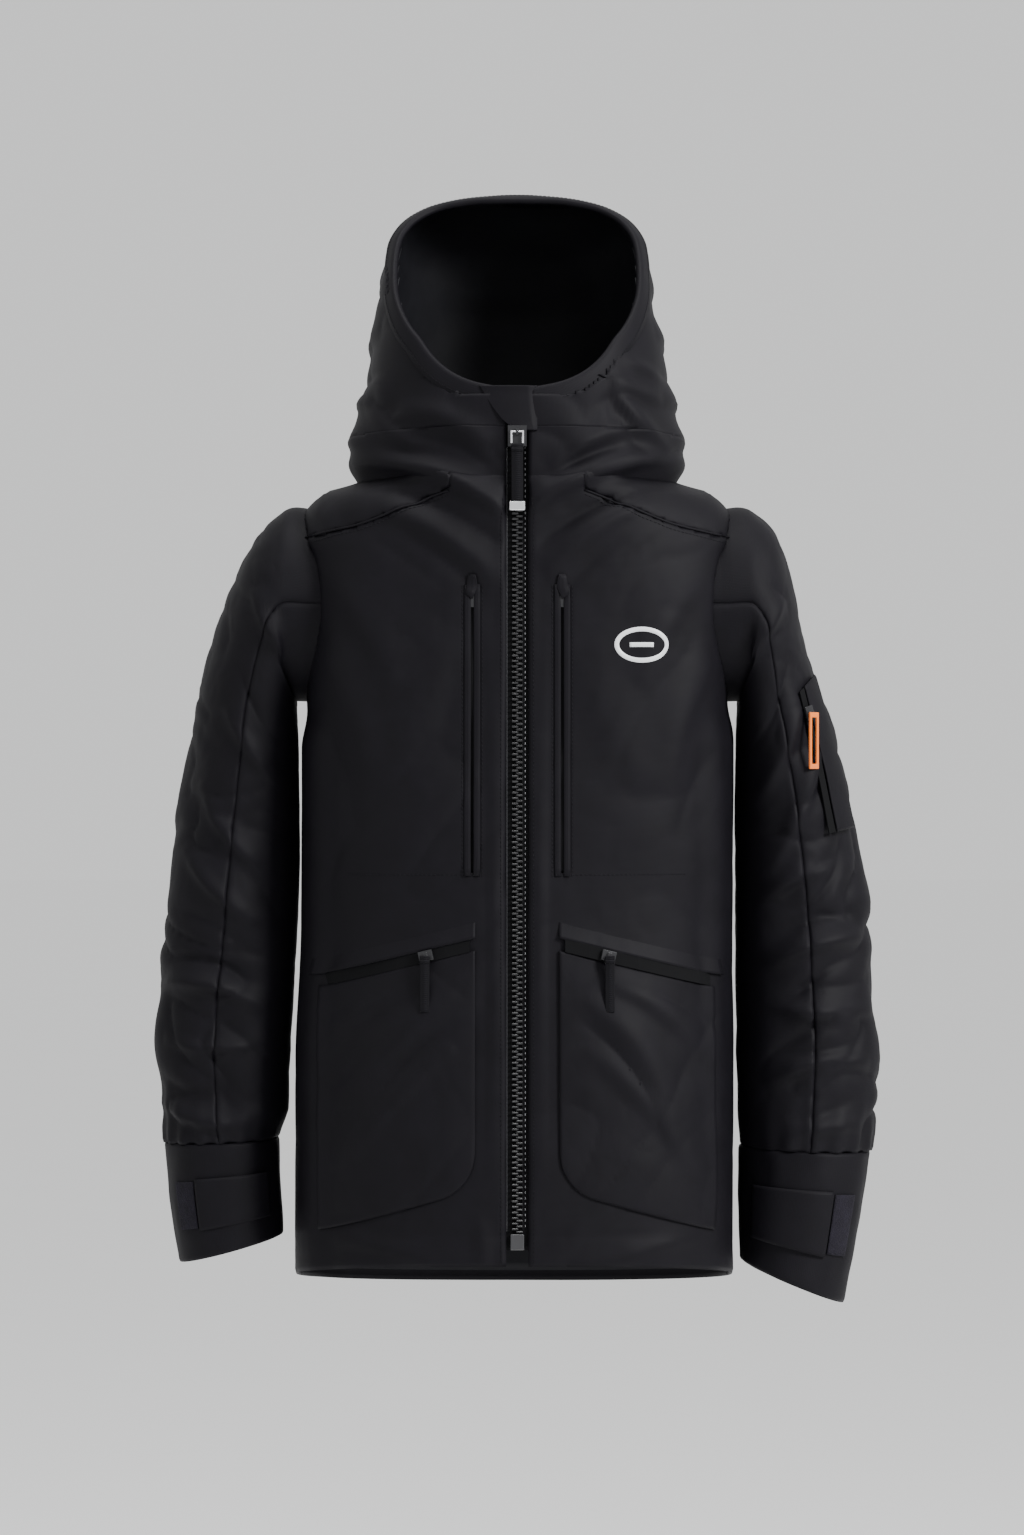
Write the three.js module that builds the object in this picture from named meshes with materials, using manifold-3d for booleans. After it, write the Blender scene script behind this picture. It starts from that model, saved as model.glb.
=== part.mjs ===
// A hooded ski jacket, empty and hanging as it does on a body, in millimetres with +Z up.
// +X is the wearer's left, -Y is the front. The origin is the top of the hanger loop.
import * as THREE from "three";
import { mergeVertices } from "three/addons/utils/BufferGeometryUtils.js";
import Module from "manifold-3d";

const wasm = await Module();
wasm.setup();

// ---- Driving dimensions, in millimetres and degrees ----

const seamGap = 0.4; // between two pieces that are sewn edge to edge
const lift = 0.6; // of a trim above the cloth it lies on
const shellThick = 2.5; // outer cloth with its insulation, pressed flat
const liningThick = 1;
const liningGap = 2.8; // room between the outer cloth and the lining, where the zip tapes lie
const trimThick = 1.4;

const zipTopZ = 22; // top of the closed stretch of the main zip
const zipBottomZ = -606;
const frontTopY = -101.5; // the front's centre line, at zipTopZ
const frontHemY = -140; // and at zipBottomZ
const zipOpening = 17; // between the edges of the two front panels
const tapeWide = 13.2;
const tapeThick = 1;
const teethWide = 4.4;
const teethThick = 3.8;
const behindCloth = 0.9; // from the outer cloth to the zip tapes behind it
const sliderWide = 14.4;
const sliderTall = 16;
const sliderWall = 1.8;
const runningGap = 0.4; // between a slider and what it runs on
const pullWide = 9.4;
const pullLong = 44;
const pullThick = 1.3;
const tipSize = [12, 2.6, 7];
const bailWire = 1.6;
const earThick = 2; // of the upright that the bail hangs in
const boxTall = 12; // of the zip's bottom box
const sliderZ = 14; // the main slider's middle when the zip is closed

const hemSideZ = -640; // the hem's height at the side seams
const hemSlope = 0.15; // how much lower the hem is towards the back
const neckSeamZ = -14;
const sideSeamY = 10;
const backYokeZ = -96;
const baseRoom = 1.2; // between the neck seam and the foot of the hood's base
const baseDrop = 3.2; // how much lower the front panels end, in front of the shelf
const baseFrontY = -45;

const armholeRadius = 75; // of the sleeve head
const armholeRoom = 0.8; // between the sleeve head and the body around it
const armholeY = 4;
const armholeZ = -113;
const sleeveThick = 2.5;
const cuffLong = 0.135; // share of the sleeve that is cuff, from its end
const gaiterInset = 11;
const gaiterThick = 1.5;
const gaiterSlope = 0.03; // share of the sleeve over which the gaiter narrows
const gaiterStart = 0.012; // share of the sleeve from the cuff's seam to the gaiter
const gaiterEnd = 0.97;
const tabAngles = [143, 64]; // of a cuff tab's sewn and free edges, from the sleeve's outer side to its front
const tabSpan = [0.902, 0.965]; // shares of the sleeve
const tabThick = 1.8;
const pocketAngles = [22, 62]; // of the sleeve pocket's outer edge and of its zip's inner edge
const pocketRows = [5.5, 7.5]; // the pocket's top and bottom, counted in the sleeve's rows of facets
const pocketZipTurn = 0.13; // radians round the sleeve that the pocket's zip takes
const pocketZipGap = 0.03;
const pocketSliderDrop = 0.025; // shares of the sleeve from the pocket's top to its slider
const pocketSliderStop = 0.02;

const hemLockZ = -612;
const lockWide = 16;
const liningAround = 28; // facets round the lining and what hangs on it
const skirtSpan = [-600, -470];
const skirtTaper = 14; // how much further in the powder skirt's foot stands than its top

const hoodPivotZ = 11; // the crease at the nape where the hood tips back
const hoodCentreWide = 78;
const brimWide = 15;
const collarTall = 38;
const collarThick = 2;
const collarOpen = 0.62; // half the angle left open at the front
const loopTopZ = 24;
const loopTall = 14;
const loopWide = 48;
const loopWire = 2.8;

const chestPocketX = 34.5;
const chestPocketTopZ = -104;
const chestPocketLong = 216;
const pocketSlotWide = 9.6;
const weltWide = 15;
const handPocketX = [34, 150];
const handPocketZ = -375;
const handPocketSlope = -0.25;
const handZipSpan = [-5, 5]; // above the pocket's line
const handFlapSpan = [7, 24];
const handSliderX = 69;
const handTravelX = 136;
const handPullLong = 43;
const handPullWide = 8;
const pocketPullThick = 2;
const stripThick = 1.2;
const lugOut = 4.2; // how far a pocket slider's lug stands off the face it runs on
const sleevePullSize = [10, 44];

// The body's outline from the hem up: height, half width, depth behind the centre plane, squareness.
const bodyOutline = [
  [-680, 169, 116, 2.5],
  [-600, 168, 116, 2.5],
  [-480, 166, 113, 2.5],
  [-360, 164, 112, 2.5],
  [-250, 164, 116, 2.8],
  [-170, 166, 121, 3.1],
  [-110, 169, 124, 3.2],
  [-70, 171, 123, 3],
  [-46, 168, 121, 2.7],
  [-31, 157, 120, 2.5],
  [-22, 140, 119, 2.4],
  [neckSeamZ, 122, 118, 2.35],
];
const plainSquareness = 2.35; // of the neck shelf, the hood and the collar
// The shelf inside the hood's base, from the neck seam in to the neck: height, half width, front, back.
const neckShelf = [
  [-9, 108, 90, 106],
  [-3, 92, 80, 94],
  [3, 82, 72, 85],
];
// The hood from the neck seam to the crown: height, half width, front, back.
const hoodOutline = [
  [neckSeamZ - 6, 123, 104.2, 117],
  [neckSeamZ, 124, 103.6, 119],
  [0, 126, 102.8, 127],
  [15, 127, 101.9, 133],
  [50, 122, 99.8, 141],
  [90, 114, 96, 145],
  [125, 109, 88, 143],
  [150, 105, 72, 137],
  [176, 100, 42, 126],
  [192, 91, 14, 113],
  [204, 74, -10, 99],
  [211, 52, -28, 84],
  [215, 20, -45, 66],
];
// The hood's rim seen from the side, from the chin up to the crown: front-to-back place and height.
const rimLine = [
  [-100, 52],
  [-92, 64],
  [-74, 92],
  [-50, 117],
  [-28, 140],
  [-5, 165],
  [16, 188],
  [34, 206],
  [42, 225],
];
// Each sleeve from the armhole to the cuff: inner edge (x, z), outer edge (x, z), half depth, middle's y.
const sleeveHead = [
  [146, armholeZ - armholeRadius, 146, armholeZ + armholeRadius, armholeRadius, armholeY],
  [163, armholeZ - armholeRadius, 163, armholeZ + armholeRadius, armholeRadius, armholeY],
  [181, armholeZ - armholeRadius, 183, armholeZ + armholeRadius, armholeRadius, armholeY],
];
const sleeveRight = [
  [180, -194, 205, -58, 73, 4],
  [177, -206, 228, -105, 70, 5],
  [174.5, -222, 246, -158, 66, 6],
  [173.5, -256, 259, -225, 62, 8],
  [173.5, -305, 271, -290, 60, 9],
  [176, -350, 277, -345, 58, 9],
  [182, -405, 282, -405, 56, 7],
  [188, -462, 284, -462, 54, 3],
  [188, -520, 279, -522, 51, -2],
  [186, -566, 274, -576, 48, -7],
  [184, -606, 266, -628, 46, -11],
];
const sleeveLeft = [
  [180, -194, 203, -58, 73, 4],
  [177, -206, 220, -105, 70, 5],
  [174.5, -222, 233, -158, 66, 6],
  [173.5, -256, 251, -220, 62, 8],
  [173.5, -305, 267, -285, 60, 9],
  [174.5, -350, 277, -345, 58, 9],
  [176.5, -405, 282, -405, 56, 7],
  [178, -465, 285, -465, 54, 3],
  [176, -525, 281, -528, 51, -2],
  [174.5, -578, 271, -588, 48, -7],
  [174.5, -626, 257, -660, 46, -11],
];

// ---- Materials ----

function fabric(colour, roughness = 0.9) {
  return () => new THREE.MeshStandardMaterial({ color: colour, roughness, metalness: 0 });
}

const shellCloth = fabric(0x202026);
const liningCloth = fabric(0x17171b, 0.8);
const knit = fabric(0x1b1b20, 1);
const tapeCloth = fabric(0x15151a);
const ribbonCloth = fabric(0x1a1a1f);
const orangeCord = fabric(0xd9531e, 0.7);
const plastic = () => new THREE.MeshStandardMaterial({ color: 0x232326, roughness: 0.45, metalness: 0 });
const silver = () => new THREE.MeshStandardMaterial({ color: 0xc9c9cc, roughness: 0.28, metalness: 1 });

// ---- Solids: closed geometries, and cuts and joins between them ----

function solidOf(geometry) {
  const bare = geometry.clone();
  bare.deleteAttribute("normal");
  bare.deleteAttribute("uv");
  const merged = mergeVertices(bare, 1e-4);
  const made = new wasm.Manifold(
    new wasm.Mesh({
      numProp: 3,
      vertProperties: merged.attributes.position.array,
      triVerts: new Uint32Array(merged.index.array),
    }),
  );
  return made;
}

function geometryOf(solid) {
  const mesh = solid.getMesh();
  return new THREE.BufferGeometry()
    .setAttribute("position", new THREE.BufferAttribute(Float32Array.from(mesh.vertProperties), 3))
    .setIndex(new THREE.BufferAttribute(Uint32Array.from(mesh.triVerts), 1));
}

// A cut can leave slivers beside the piece that is meant, so the largest body is the piece.
function largest(solid) {
  const bodies = solid.decompose();
  return bodies.reduce((best, body) => (body.volume() > best.volume() ? body : best));
}

function triangulated(points, faces) {
  const geometry = new THREE.BufferGeometry().setFromPoints(points);
  geometry.setIndex(faces);
  let volume = 0;
  const [a, b, c] = [new THREE.Vector3(), new THREE.Vector3(), new THREE.Vector3()];
  for (let i = 0; i < faces.length; i += 3) {
    volume += a.copy(points[faces[i]]).dot(b.copy(points[faces[i + 1]]).cross(c.copy(points[faces[i + 2]])));
  }
  if (volume < 0) geometry.setIndex(faces.toReversed());
  return geometry;
}

// A closed solid through a stack of rings with equally many points, with flat ends.
function loft(rings) {
  const around = rings[0].length;
  const points = rings.flat();
  const faces = [];
  for (let k = 0; k + 1 < rings.length; k++) {
    for (let i = 0; i < around; i++) {
      const next = (i + 1) % around;
      const [p, q, r, s] = [k * around + i, k * around + next, (k + 1) * around + next, (k + 1) * around + i];
      faces.push(p, q, r, p, r, s);
    }
  }
  [0, rings.length - 1].forEach((k, end) => {
    const middle = rings[k].reduce((sum, p) => sum.add(p), new THREE.Vector3()).divideScalar(around);
    const hub = points.push(middle) - 1;
    for (let i = 0; i < around; i++) {
      const pair = [k * around + i, k * around + ((i + 1) % around)];
      faces.push(hub, ...(end ? pair : pair.toReversed()));
    }
  });
  return triangulated(points, faces);
}

// A sheet of cloth with its thickness, over a grid on a surface(u, v, offset).
// A closed one goes right round in u.
function sheet(surface, [u0, u1, nu], [v0, v1, nv], low, high, closed = false) {
  const columns = closed ? nu : nu + 1;
  const at = (i, j, offset) => surface(u0 + ((u1 - u0) * i) / nu, v0 + ((v1 - v0) * j) / nv, offset);
  const points = [];
  for (const offset of [low, high]) {
    for (let j = 0; j <= nv; j++) {
      for (let i = 0; i < columns; i++) points.push(at(i, j, offset));
    }
  }
  const layer = columns * (nv + 1);
  const faces = [];
  const quad = (p, q, r, s) => faces.push(p, q, r, p, r, s);
  const id = (i, j, side) => side * layer + j * columns + (i % columns);
  for (let j = 0; j < nv; j++) {
    for (let i = 0; i < nu; i++) {
      quad(id(i, j, 1), id(i + 1, j, 1), id(i + 1, j + 1, 1), id(i, j + 1, 1));
      quad(id(i, j, 0), id(i, j + 1, 0), id(i + 1, j + 1, 0), id(i + 1, j, 0));
    }
  }
  for (let i = 0; i < nu; i++) {
    quad(id(i, 0, 0), id(i + 1, 0, 0), id(i + 1, 0, 1), id(i, 0, 1));
    quad(id(i, nv, 1), id(i + 1, nv, 1), id(i + 1, nv, 0), id(i, nv, 0));
  }
  for (let j = 0; j < nv && !closed; j++) {
    quad(id(0, j, 1), id(0, j + 1, 1), id(0, j + 1, 0), id(0, j, 0));
    quad(id(nu, j, 0), id(nu, j + 1, 0), id(nu, j + 1, 1), id(nu, j, 1));
  }
  return triangulated(points, faces);
}

// A cutter with an outline drawn from the front (x, z), reaching from one depth to another.
function frontCutter(outline, y0 = -400, y1 = 400) {
  const shape = new THREE.Shape(outline.map(([x, z]) => new THREE.Vector2(x, z)));
  const geometry = new THREE.ExtrudeGeometry(shape, { depth: y1 - y0, bevelEnabled: false });
  return solidOf(geometry.rotateX(Math.PI / 2).translate(0, y1, 0));
}

// A cutter with an outline drawn from the side (y, z), reaching from one x to another.
function sideCutter(outline, x0 = -400, x1 = 400) {
  const shape = new THREE.Shape(outline.map(([y, z]) => new THREE.Vector2(y, z)));
  const geometry = new THREE.ExtrudeGeometry(shape, { depth: x1 - x0, bevelEnabled: false });
  const turn = new THREE.Matrix4().makeBasis(
    new THREE.Vector3(0, 1, 0),
    new THREE.Vector3(0, 0, 1),
    new THREE.Vector3(1, 0, 0),
  );
  return solidOf(geometry.applyMatrix4(turn).translate(x0, 0, 0));
}

function block([x0, x1], [y0, y1], [z0, z1]) {
  const geometry = new THREE.BoxGeometry(x1 - x0, y1 - y0, z1 - z0);
  return geometry.translate((x0 + x1) / 2, (y0 + y1) / 2, (z0 + z1) / 2);
}

const blockSolid = (x, y, z) => solidOf(block(x, y, z));

// ---- The garment's surfaces ----

function mix(a, b, t) {
  return a + (b - a) * t;
}

const frontSlope = (frontTopY - frontHemY) / (zipTopZ - zipBottomZ);
const frontY = (z) => frontTopY + frontSlope * (z - zipTopZ);

function rowAt(table, z) {
  const last = table.length - 1;
  let k = 0;
  while (k < last - 1 && table[k + 1][0] < z) k++;
  const t = (z - table[k][0]) / (table[k + 1][0] - table[k][0]);
  return table[k].map((value, i) => mix(value, table[k + 1][i], t));
}

// A squarish oval: across is its half vector in x, deep its half vector to the front.
function ovalPoint({ centre, across, deep, power }, angle) {
  const rounded = (value) => Math.sign(value) * Math.abs(value) ** (2 / power);
  return centre
    .clone()
    .addScaledVector(across, rounded(Math.cos(angle)))
    .addScaledVector(deep, rounded(Math.sin(angle)));
}

const bodyTable = [
  ...bodyOutline.map(([z, half, back, power]) => [z, half, -frontY(z), back, power]),
  ...neckShelf.map((row) => [...row, plainSquareness]),
];
const hoodTable = hoodOutline.map((row) => [...row, plainSquareness]);

function ringOf(table, z) {
  const [, half, front, back, power] = rowAt(table, z);
  return {
    power,
    centre: new THREE.Vector3(0, (back - front) / 2, z),
    across: new THREE.Vector3(half, 0, 0),
    deep: new THREE.Vector3(0, -(front + back) / 2, 0),
  };
}

// The point on a surface moved out along the surface's normal.
function offsetPoint(place, centre, u, v, offset) {
  const step = 0.5;
  const turn = 0.01;
  const point = place(u, v);
  if (offset === 0) return point;
  const along = place(u, v + step).sub(place(u, v - step));
  const round = place(u + turn, v).sub(place(u - turn, v));
  const normal = round.cross(along).normalize();
  if (normal.dot(point.clone().sub(centre(v))) < 0) normal.negate();
  return point.addScaledVector(normal, offset);
}

function tableSurface(table) {
  const place = (angle, z) => ovalPoint(ringOf(table, z), angle);
  return (angle, z, offset) => offsetPoint(place, (v) => ringOf(table, v).centre, angle, z, offset);
}

const bodySurface = tableSurface(bodyTable);
const hoodSurface = tableSurface(hoodTable);

// The front of the body over a place (x, z) seen from the front.
function frontSurface(x, z, offset) {
  const { across, power } = ringOf(bodyTable, z);
  const share = Math.abs(x / across.x) ** (power / 2);
  const angle = Math.atan2(Math.sqrt(1 - share ** 2), Math.sign(x) * share);
  return bodySurface(angle, z, offset);
}

function sleeveCurves(side, rows) {
  const all = [...sleeveHead, ...rows];
  const curve = (pick) => new THREE.CatmullRomCurve3(all.map(pick), false, "catmullrom", 0.4);
  const inner = curve(([x, z, , , , y]) => new THREE.Vector3(side * x, y, z));
  const outer = curve(([, , x, z, , y]) => new THREE.Vector3(side * x, y, z));
  const depth = curve(([, , , , d]) => new THREE.Vector3(d, 0, 0));
  return { inner, outer, depth };
}

// A sleeve's surface: v runs from 0 at the armhole to 1 at the end.
// Angle 0 is its outer side and 90 the front.
function sleeveSurface(side, rows) {
  const { inner, outer, depth } = sleeveCurves(side, rows);
  const ring = (v) => {
    const t = THREE.MathUtils.clamp(v, 0, 1);
    const [p, q] = [inner.getPoint(t), outer.getPoint(t)];
    return {
      centre: p.clone().add(q).multiplyScalar(0.5),
      across: q.clone().sub(p).multiplyScalar(0.5),
      deep: new THREE.Vector3(0, -depth.getPoint(t).x, 0),
    };
  };
  return (angle, v, offset) => {
    const { centre, across, deep } = ring(v);
    const unit = new THREE.Vector3(
      Math.cos(angle) / across.length(),
      Math.sin(angle) / deep.length(),
      0,
    ).normalize();
    return centre
      .clone()
      .addScaledVector(across, Math.cos(angle))
      .addScaledVector(deep, Math.sin(angle))
      .addScaledVector(across.clone().normalize(), unit.x * offset)
      .addScaledVector(deep.clone().normalize(), unit.y * offset);
  };
}

// The face of the collar stand behind the hanger loop's two ends.
function loopSeat() {
  const turn = Math.PI / 2 - loopWide / 2 / neckShelf[neckShelf.length - 1][1];
  return standSurface(-turn, loopTopZ - loopTall, -collarThick).y;
}

// ---- The scene graph ----

const jacket = new THREE.Group();
const loopTop = new THREE.Vector3(0, loopSeat() - loopWire / 2 - lift, loopTopZ);
jacket.position.copy(loopTop).negate();

function add(name, geometry, material, parent = jacket) {
  const mesh = new THREE.Mesh(geometry, material());
  mesh.name = name;
  parent.add(mesh);
  return mesh;
}

const addSolid = (name, solid, material, parent) => add(name, geometryOf(largest(solid)), material, parent);
const sides = { left: 1, right: -1 };

// A hollow body through the rings of a surface, open at both ends.
function shellOf(surface, heights, around, outside, inside) {
  const angles = Array.from({ length: around }, (_, i) => (2 * Math.PI * i) / around);
  const rings = (offset) => heights.map((z) => angles.map((angle) => surface(angle, z, offset)));
  const past = 12;
  const core = rings(inside);
  const first = core[0].map((p) => p.clone().setZ(p.z - past));
  const last = core[core.length - 1].map((p) => p.clone().setZ(p.z + past));
  return solidOf(loft(rings(outside))).subtract(solidOf(loft([first, ...core, last])));
}

const armholeCutter = (side, radius) => {
  const geometry = new THREE.CylinderGeometry(radius, radius, 140, 40);
  geometry.rotateZ(Math.PI / 2).translate(side * 190, armholeY, armholeZ);
  return solidOf(geometry);
};

// Everything above the hem, which drops towards the back.
function aboveHem(rise) {
  const hem = (y) => hemSideZ - hemSlope * y + rise;
  return sideCutter([
    [-300, hem(-300)],
    [300, hem(300)],
    [300, 400],
    [-300, 400],
  ]);
}

function bodyShell() {
  const heights = bodyTable.map(([z]) => z);
  const shell = shellOf(bodySurface, heights, 40, 0, -shellThick);
  return shell
    .intersect(aboveHem(0))
    .subtract(armholeCutter(1, armholeRadius + armholeRoom))
    .subtract(armholeCutter(-1, armholeRadius + armholeRoom))
    .subtract(blockSolid([-300, 300], [-300, baseFrontY], [neckSeamZ - baseDrop, 100]))
    .subtract(blockSolid([-zipOpening / 2, zipOpening / 2], [-300, 0], [-700, 100]));
}

// The body's cloth, cut along the yoke, side and centre seams.
function makeBody() {
  const shell = bodyShell();
  const yokeLine = [
    [52, neckSeamZ + 40],
    [52, -26],
    [118, -52],
    [260, -84],
  ];
  const outline = (side, inset) => [
    ...yokeLine.map(([x, z]) => [side * x, z - inset]),
    [side * 260, 60],
  ];
  const half = seamGap / 2;
  for (const [name, side] of Object.entries(sides)) {
    const frontYoke = frontCutter(outline(side, -half), -400, sideSeamY);
    const backYoke = blockSolid(
      side > 0 ? [half, 260] : [-260, -half],
      [sideSeamY - 1, 400],
      [backYokeZ + half, 100],
    );
    const yokeSpace = frontYoke.add(backYoke);
    const yokeRoom = frontCutter(outline(side, half), -400, sideSeamY + 1).add(
      blockSolid([-260, 260], [sideSeamY, 400], [backYokeZ, 100]),
    );
    addSolid("shoulder_yoke_" + name, shell.intersect(yokeSpace), shellCloth);
    const frontHalf = blockSolid(side > 0 ? [1, 260] : [-260, -1], [-400, sideSeamY - half], [-700, 100]);
    const front = shell.intersect(frontHalf).subtract(yokeRoom);
    addSolid("front_panel_" + name, cutChestSlot(front, side), shellCloth);
  }
  const backHalf = blockSolid([-260, 260], [sideSeamY + half, 400], [-700, backYokeZ - half]);
  addSolid("back_panel", shell.intersect(backHalf), shellCloth);
}

function cutChestSlot(panel, side) {
  const x = side * chestPocketX;
  const half = pocketSlotWide / 2;
  const z = [chestPocketTopZ - chestPocketLong, chestPocketTopZ];
  return panel.subtract(blockSolid([x - half, x + half], [-400, 0], z));
}

function makeLining() {
  const top = neckSeamZ - 4;
  const heights = [-668, -600, -480, -360, -250, -170, -110, -46, -31, top];
  const outside = -shellThick - liningGap;
  const flare = (z) => (z > -600 ? 0 : liningGap - lift); // the hem's facing meets the outer cloth
  const surface = (angle, z, offset) => bodySurface(angle, z, offset + flare(z));
  const lining = shellOf(surface, heights, liningAround, outside, outside - liningThick)
    .intersect(aboveHem(6))
    .subtract(armholeCutter(1, armholeRadius + armholeRoom + 5))
    .subtract(armholeCutter(-1, armholeRadius + armholeRoom + 5))
    .subtract(blockSolid([-34, 34], [-300, 0], [-700, 100]));
  addSolid("body_lining", lining, liningCloth);
}

function makePowderSkirt() {
  const [low, high] = skirtSpan;
  const flat = shellThick + liningGap + liningThick + lift;
  const inset = (z) => flat + mix(skirtTaper, 0, (z - low) / (high - low));
  const surface = (angle, z, offset) => bodySurface(angle, z, offset - inset(z));
  const skirt = shellOf(surface, [low, -480, high], liningAround, 0, -liningThick);
  addSolid("powder_skirt", skirt.subtract(blockSolid([-34, 34], [-300, 0], [-700, 100])), liningCloth);
}

// ---- Main zip, in its own frame: z along the zip, the front cloth's face at y = 0 ----

// A frame on the front cloth at (x, z), turned to lie along it.
function zipFrame(x, z) {
  const frame = new THREE.Group();
  frame.position.copy(frontSurface(x, z, 0));
  const fall = frontSurface(x + 1, z, 0).y - frontSurface(x - 1, z, 0).y;
  frame.rotation.set(-Math.atan(frontSlope), 0, Math.atan(fall / 2));
  jacket.add(frame);
  return frame;
}

const alongZip = Math.hypot(1, frontSlope); // length along the zip for each millimetre of height

function makeMainZip() {
  const frame = new THREE.Group();
  frame.position.set(0, frontY(0), 0);
  frame.rotation.x = -Math.atan(frontSlope);
  jacket.add(frame);
  const span = [zipBottomZ * alongZip, zipTopZ * alongZip];
  const behind = shellThick + behindCloth;
  const teethBack = behind - 0.3;
  for (const [name, side] of Object.entries(sides)) {
    const across = (from, to) => (side > 0 ? [from, to] : [-to, -from]);
    const tape = block(across(0.5, tapeWide), [behind, behind + tapeThick], span);
    add("zip_tape_" + name, tape, tapeCloth, frame);
    const bottom = span[0] + boxTall + seamGap;
    const teeth = block(across(0.2, teethWide), [teethBack - teethThick, teethBack], [bottom, span[1]]);
    add("zip_teeth_" + name, teeth, plastic, frame);
  }
  const half = teethWide + 0.8;
  const box = block([-half, half], [teethBack - teethThick - 0.4, teethBack], [span[0], span[0] + boxTall]);
  add("zip_bottom_box", box, plastic, frame);
  const flapFront = behind + tapeThick + 0.4;
  const flap = block([-26, 24], [flapFront, flapFront + trimThick], [span[0] + 4, span[1] - 2]);
  add("storm_flap", flap, liningCloth, frame);
  makeMainSlider(frame, teethBack - teethThick);
}

function makeMainSlider(frame, teethFront) {
  const back = teethFront - runningGap;
  const z = [sliderZ - sliderTall / 2, sliderZ + sliderTall / 2];
  const half = sliderWide / 2;
  const reach = shellThick + behindCloth - runningGap;
  const wall = half - teethWide - runningGap - 0.3;
  const barY = back - sliderWall - bailWire / 2 - 1.1;
  const barZ = sliderZ + 3;
  const ear = blockSolid([-earThick / 2, earThick / 2], [barY - 2.2, back - 0.2], [barZ - 2.4, barZ + 2.4]);
  const holeRadius = bailWire / 2 + runningGap;
  const hole = new THREE.CylinderGeometry(holeRadius, holeRadius, 30, 16).rotateZ(Math.PI / 2);
  const slider = blockSolid([-half, half], [back - sliderWall, back], z)
    .add(blockSolid([-half, -half + wall], [back - 1, reach], z))
    .add(blockSolid([half - wall, half], [back - 1, reach], z))
    .add(ear)
    .subtract(solidOf(hole.translate(0, barY, barZ)));
  const mesh = addSolid("main_zip_slider", slider, plastic, frame);
  mesh.userData.slide = { travel: barZ - sliderTall - zipBottomZ - boxTall - 4 };
  const legX = pullWide / 2 - bailWire / 2 + 0.5;
  const legZ = barZ - 9;
  const round = bailWire / 2;
  const bar = new THREE.CylinderGeometry(round, round, 2 * legX, 12).rotateZ(Math.PI / 2);
  let bail = solidOf(bar.translate(0, barY, barZ));
  for (const x of [-legX, legX]) {
    const leg = new THREE.CylinderGeometry(round, round, barZ - legZ + round, 12).rotateX(Math.PI / 2);
    bail = bail.add(solidOf(leg.translate(x, barY, (barZ + round + legZ) / 2)));
  }
  const bailMesh = addSolid("main_zip_bail", bail, silver, frame);
  bailMesh.userData.hinge = { at: new THREE.Vector3(0, barY, barZ) };
  const top = legZ - 0.4;
  const ribbonY = [barY - pullThick / 2, barY + pullThick / 2];
  add(
    "main_zip_pull",
    block([-pullWide / 2, pullWide / 2], ribbonY, [top - pullLong, top]),
    ribbonCloth,
    frame,
  );
  const [tipWide, tipThick, tipTall] = tipSize;
  const tipTop = top - pullLong - 0.3;
  const tipDepth = [barY - tipThick / 2, barY + tipThick / 2];
  add(
    "main_zip_pull_tip",
    block([-tipWide / 2, tipWide / 2], tipDepth, [tipTop - tipTall, tipTop]),
    silver,
    frame,
  );
}

// ---- Pockets ----

function makeChestPocket(name, side) {
  const x = side * chestPocketX;
  const middle = chestPocketTopZ - chestPocketLong / 2;
  const frame = zipFrame(x, middle);
  const half = chestPocketLong / 2;
  const behind = shellThick + behindCloth;
  const coil = 4;
  const zip = blockSolid([-6.2, 6.2], [behind, behind + tapeThick], [-half - 5, half + 5]).add(
    blockSolid([-coil / 2, coil / 2], [behind - 1.2, behind + 0.2], [-half + 1, half - 1]),
  );
  addSolid("chest_zip_" + name, zip, tapeCloth, frame);
  const plate = behind - 1.2 - runningGap;
  const wide = 7.6;
  const z = [half - 13, half - 2];
  const slider = blockSolid([-wide / 2, wide / 2], [plate - 1, plate], z)
    .add(blockSolid([-wide / 2, -wide / 2 + 1], [plate - 0.5, behind - runningGap], z))
    .add(blockSolid([wide / 2 - 1, wide / 2], [plate - 0.5, behind - runningGap], z));
  const mesh = addSolid("chest_slider_" + name, slider, plastic, frame);
  mesh.userData.slide = { travel: chestPocketLong - 16 };
  const welt = (u, v, offset) => frontSurface(x + u, v, offset);
  const edge = weltWide / 2;
  const span = [chestPocketTopZ - chestPocketLong - 4, chestPocketTopZ + 5, 10];
  add("chest_welt_" + name, sheet(welt, [-edge, edge, 2], span, lift, lift + 0.9), shellCloth);
}

const handLineZ = (x) => handPocketZ + handPocketSlope * (x - handPocketX[0]);

// A hand pocket's zip goes round the body's side, so its slider turns about the centre of that curve.
function circleThrough(p, q, r) {
  const [a, b] = [q.clone().sub(p), r.clone().sub(p)];
  const axis = a.clone().cross(b);
  const toCentre = b
    .clone()
    .multiplyScalar(a.lengthSq())
    .addScaledVector(a, -b.lengthSq())
    .cross(axis)
    .divideScalar(2 * axis.lengthSq());
  const centre = p.clone().add(toCentre);
  const turn = p.clone().sub(centre).cross(r.clone().sub(centre));
  return { centre, axis: turn.normalize() };
}

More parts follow.
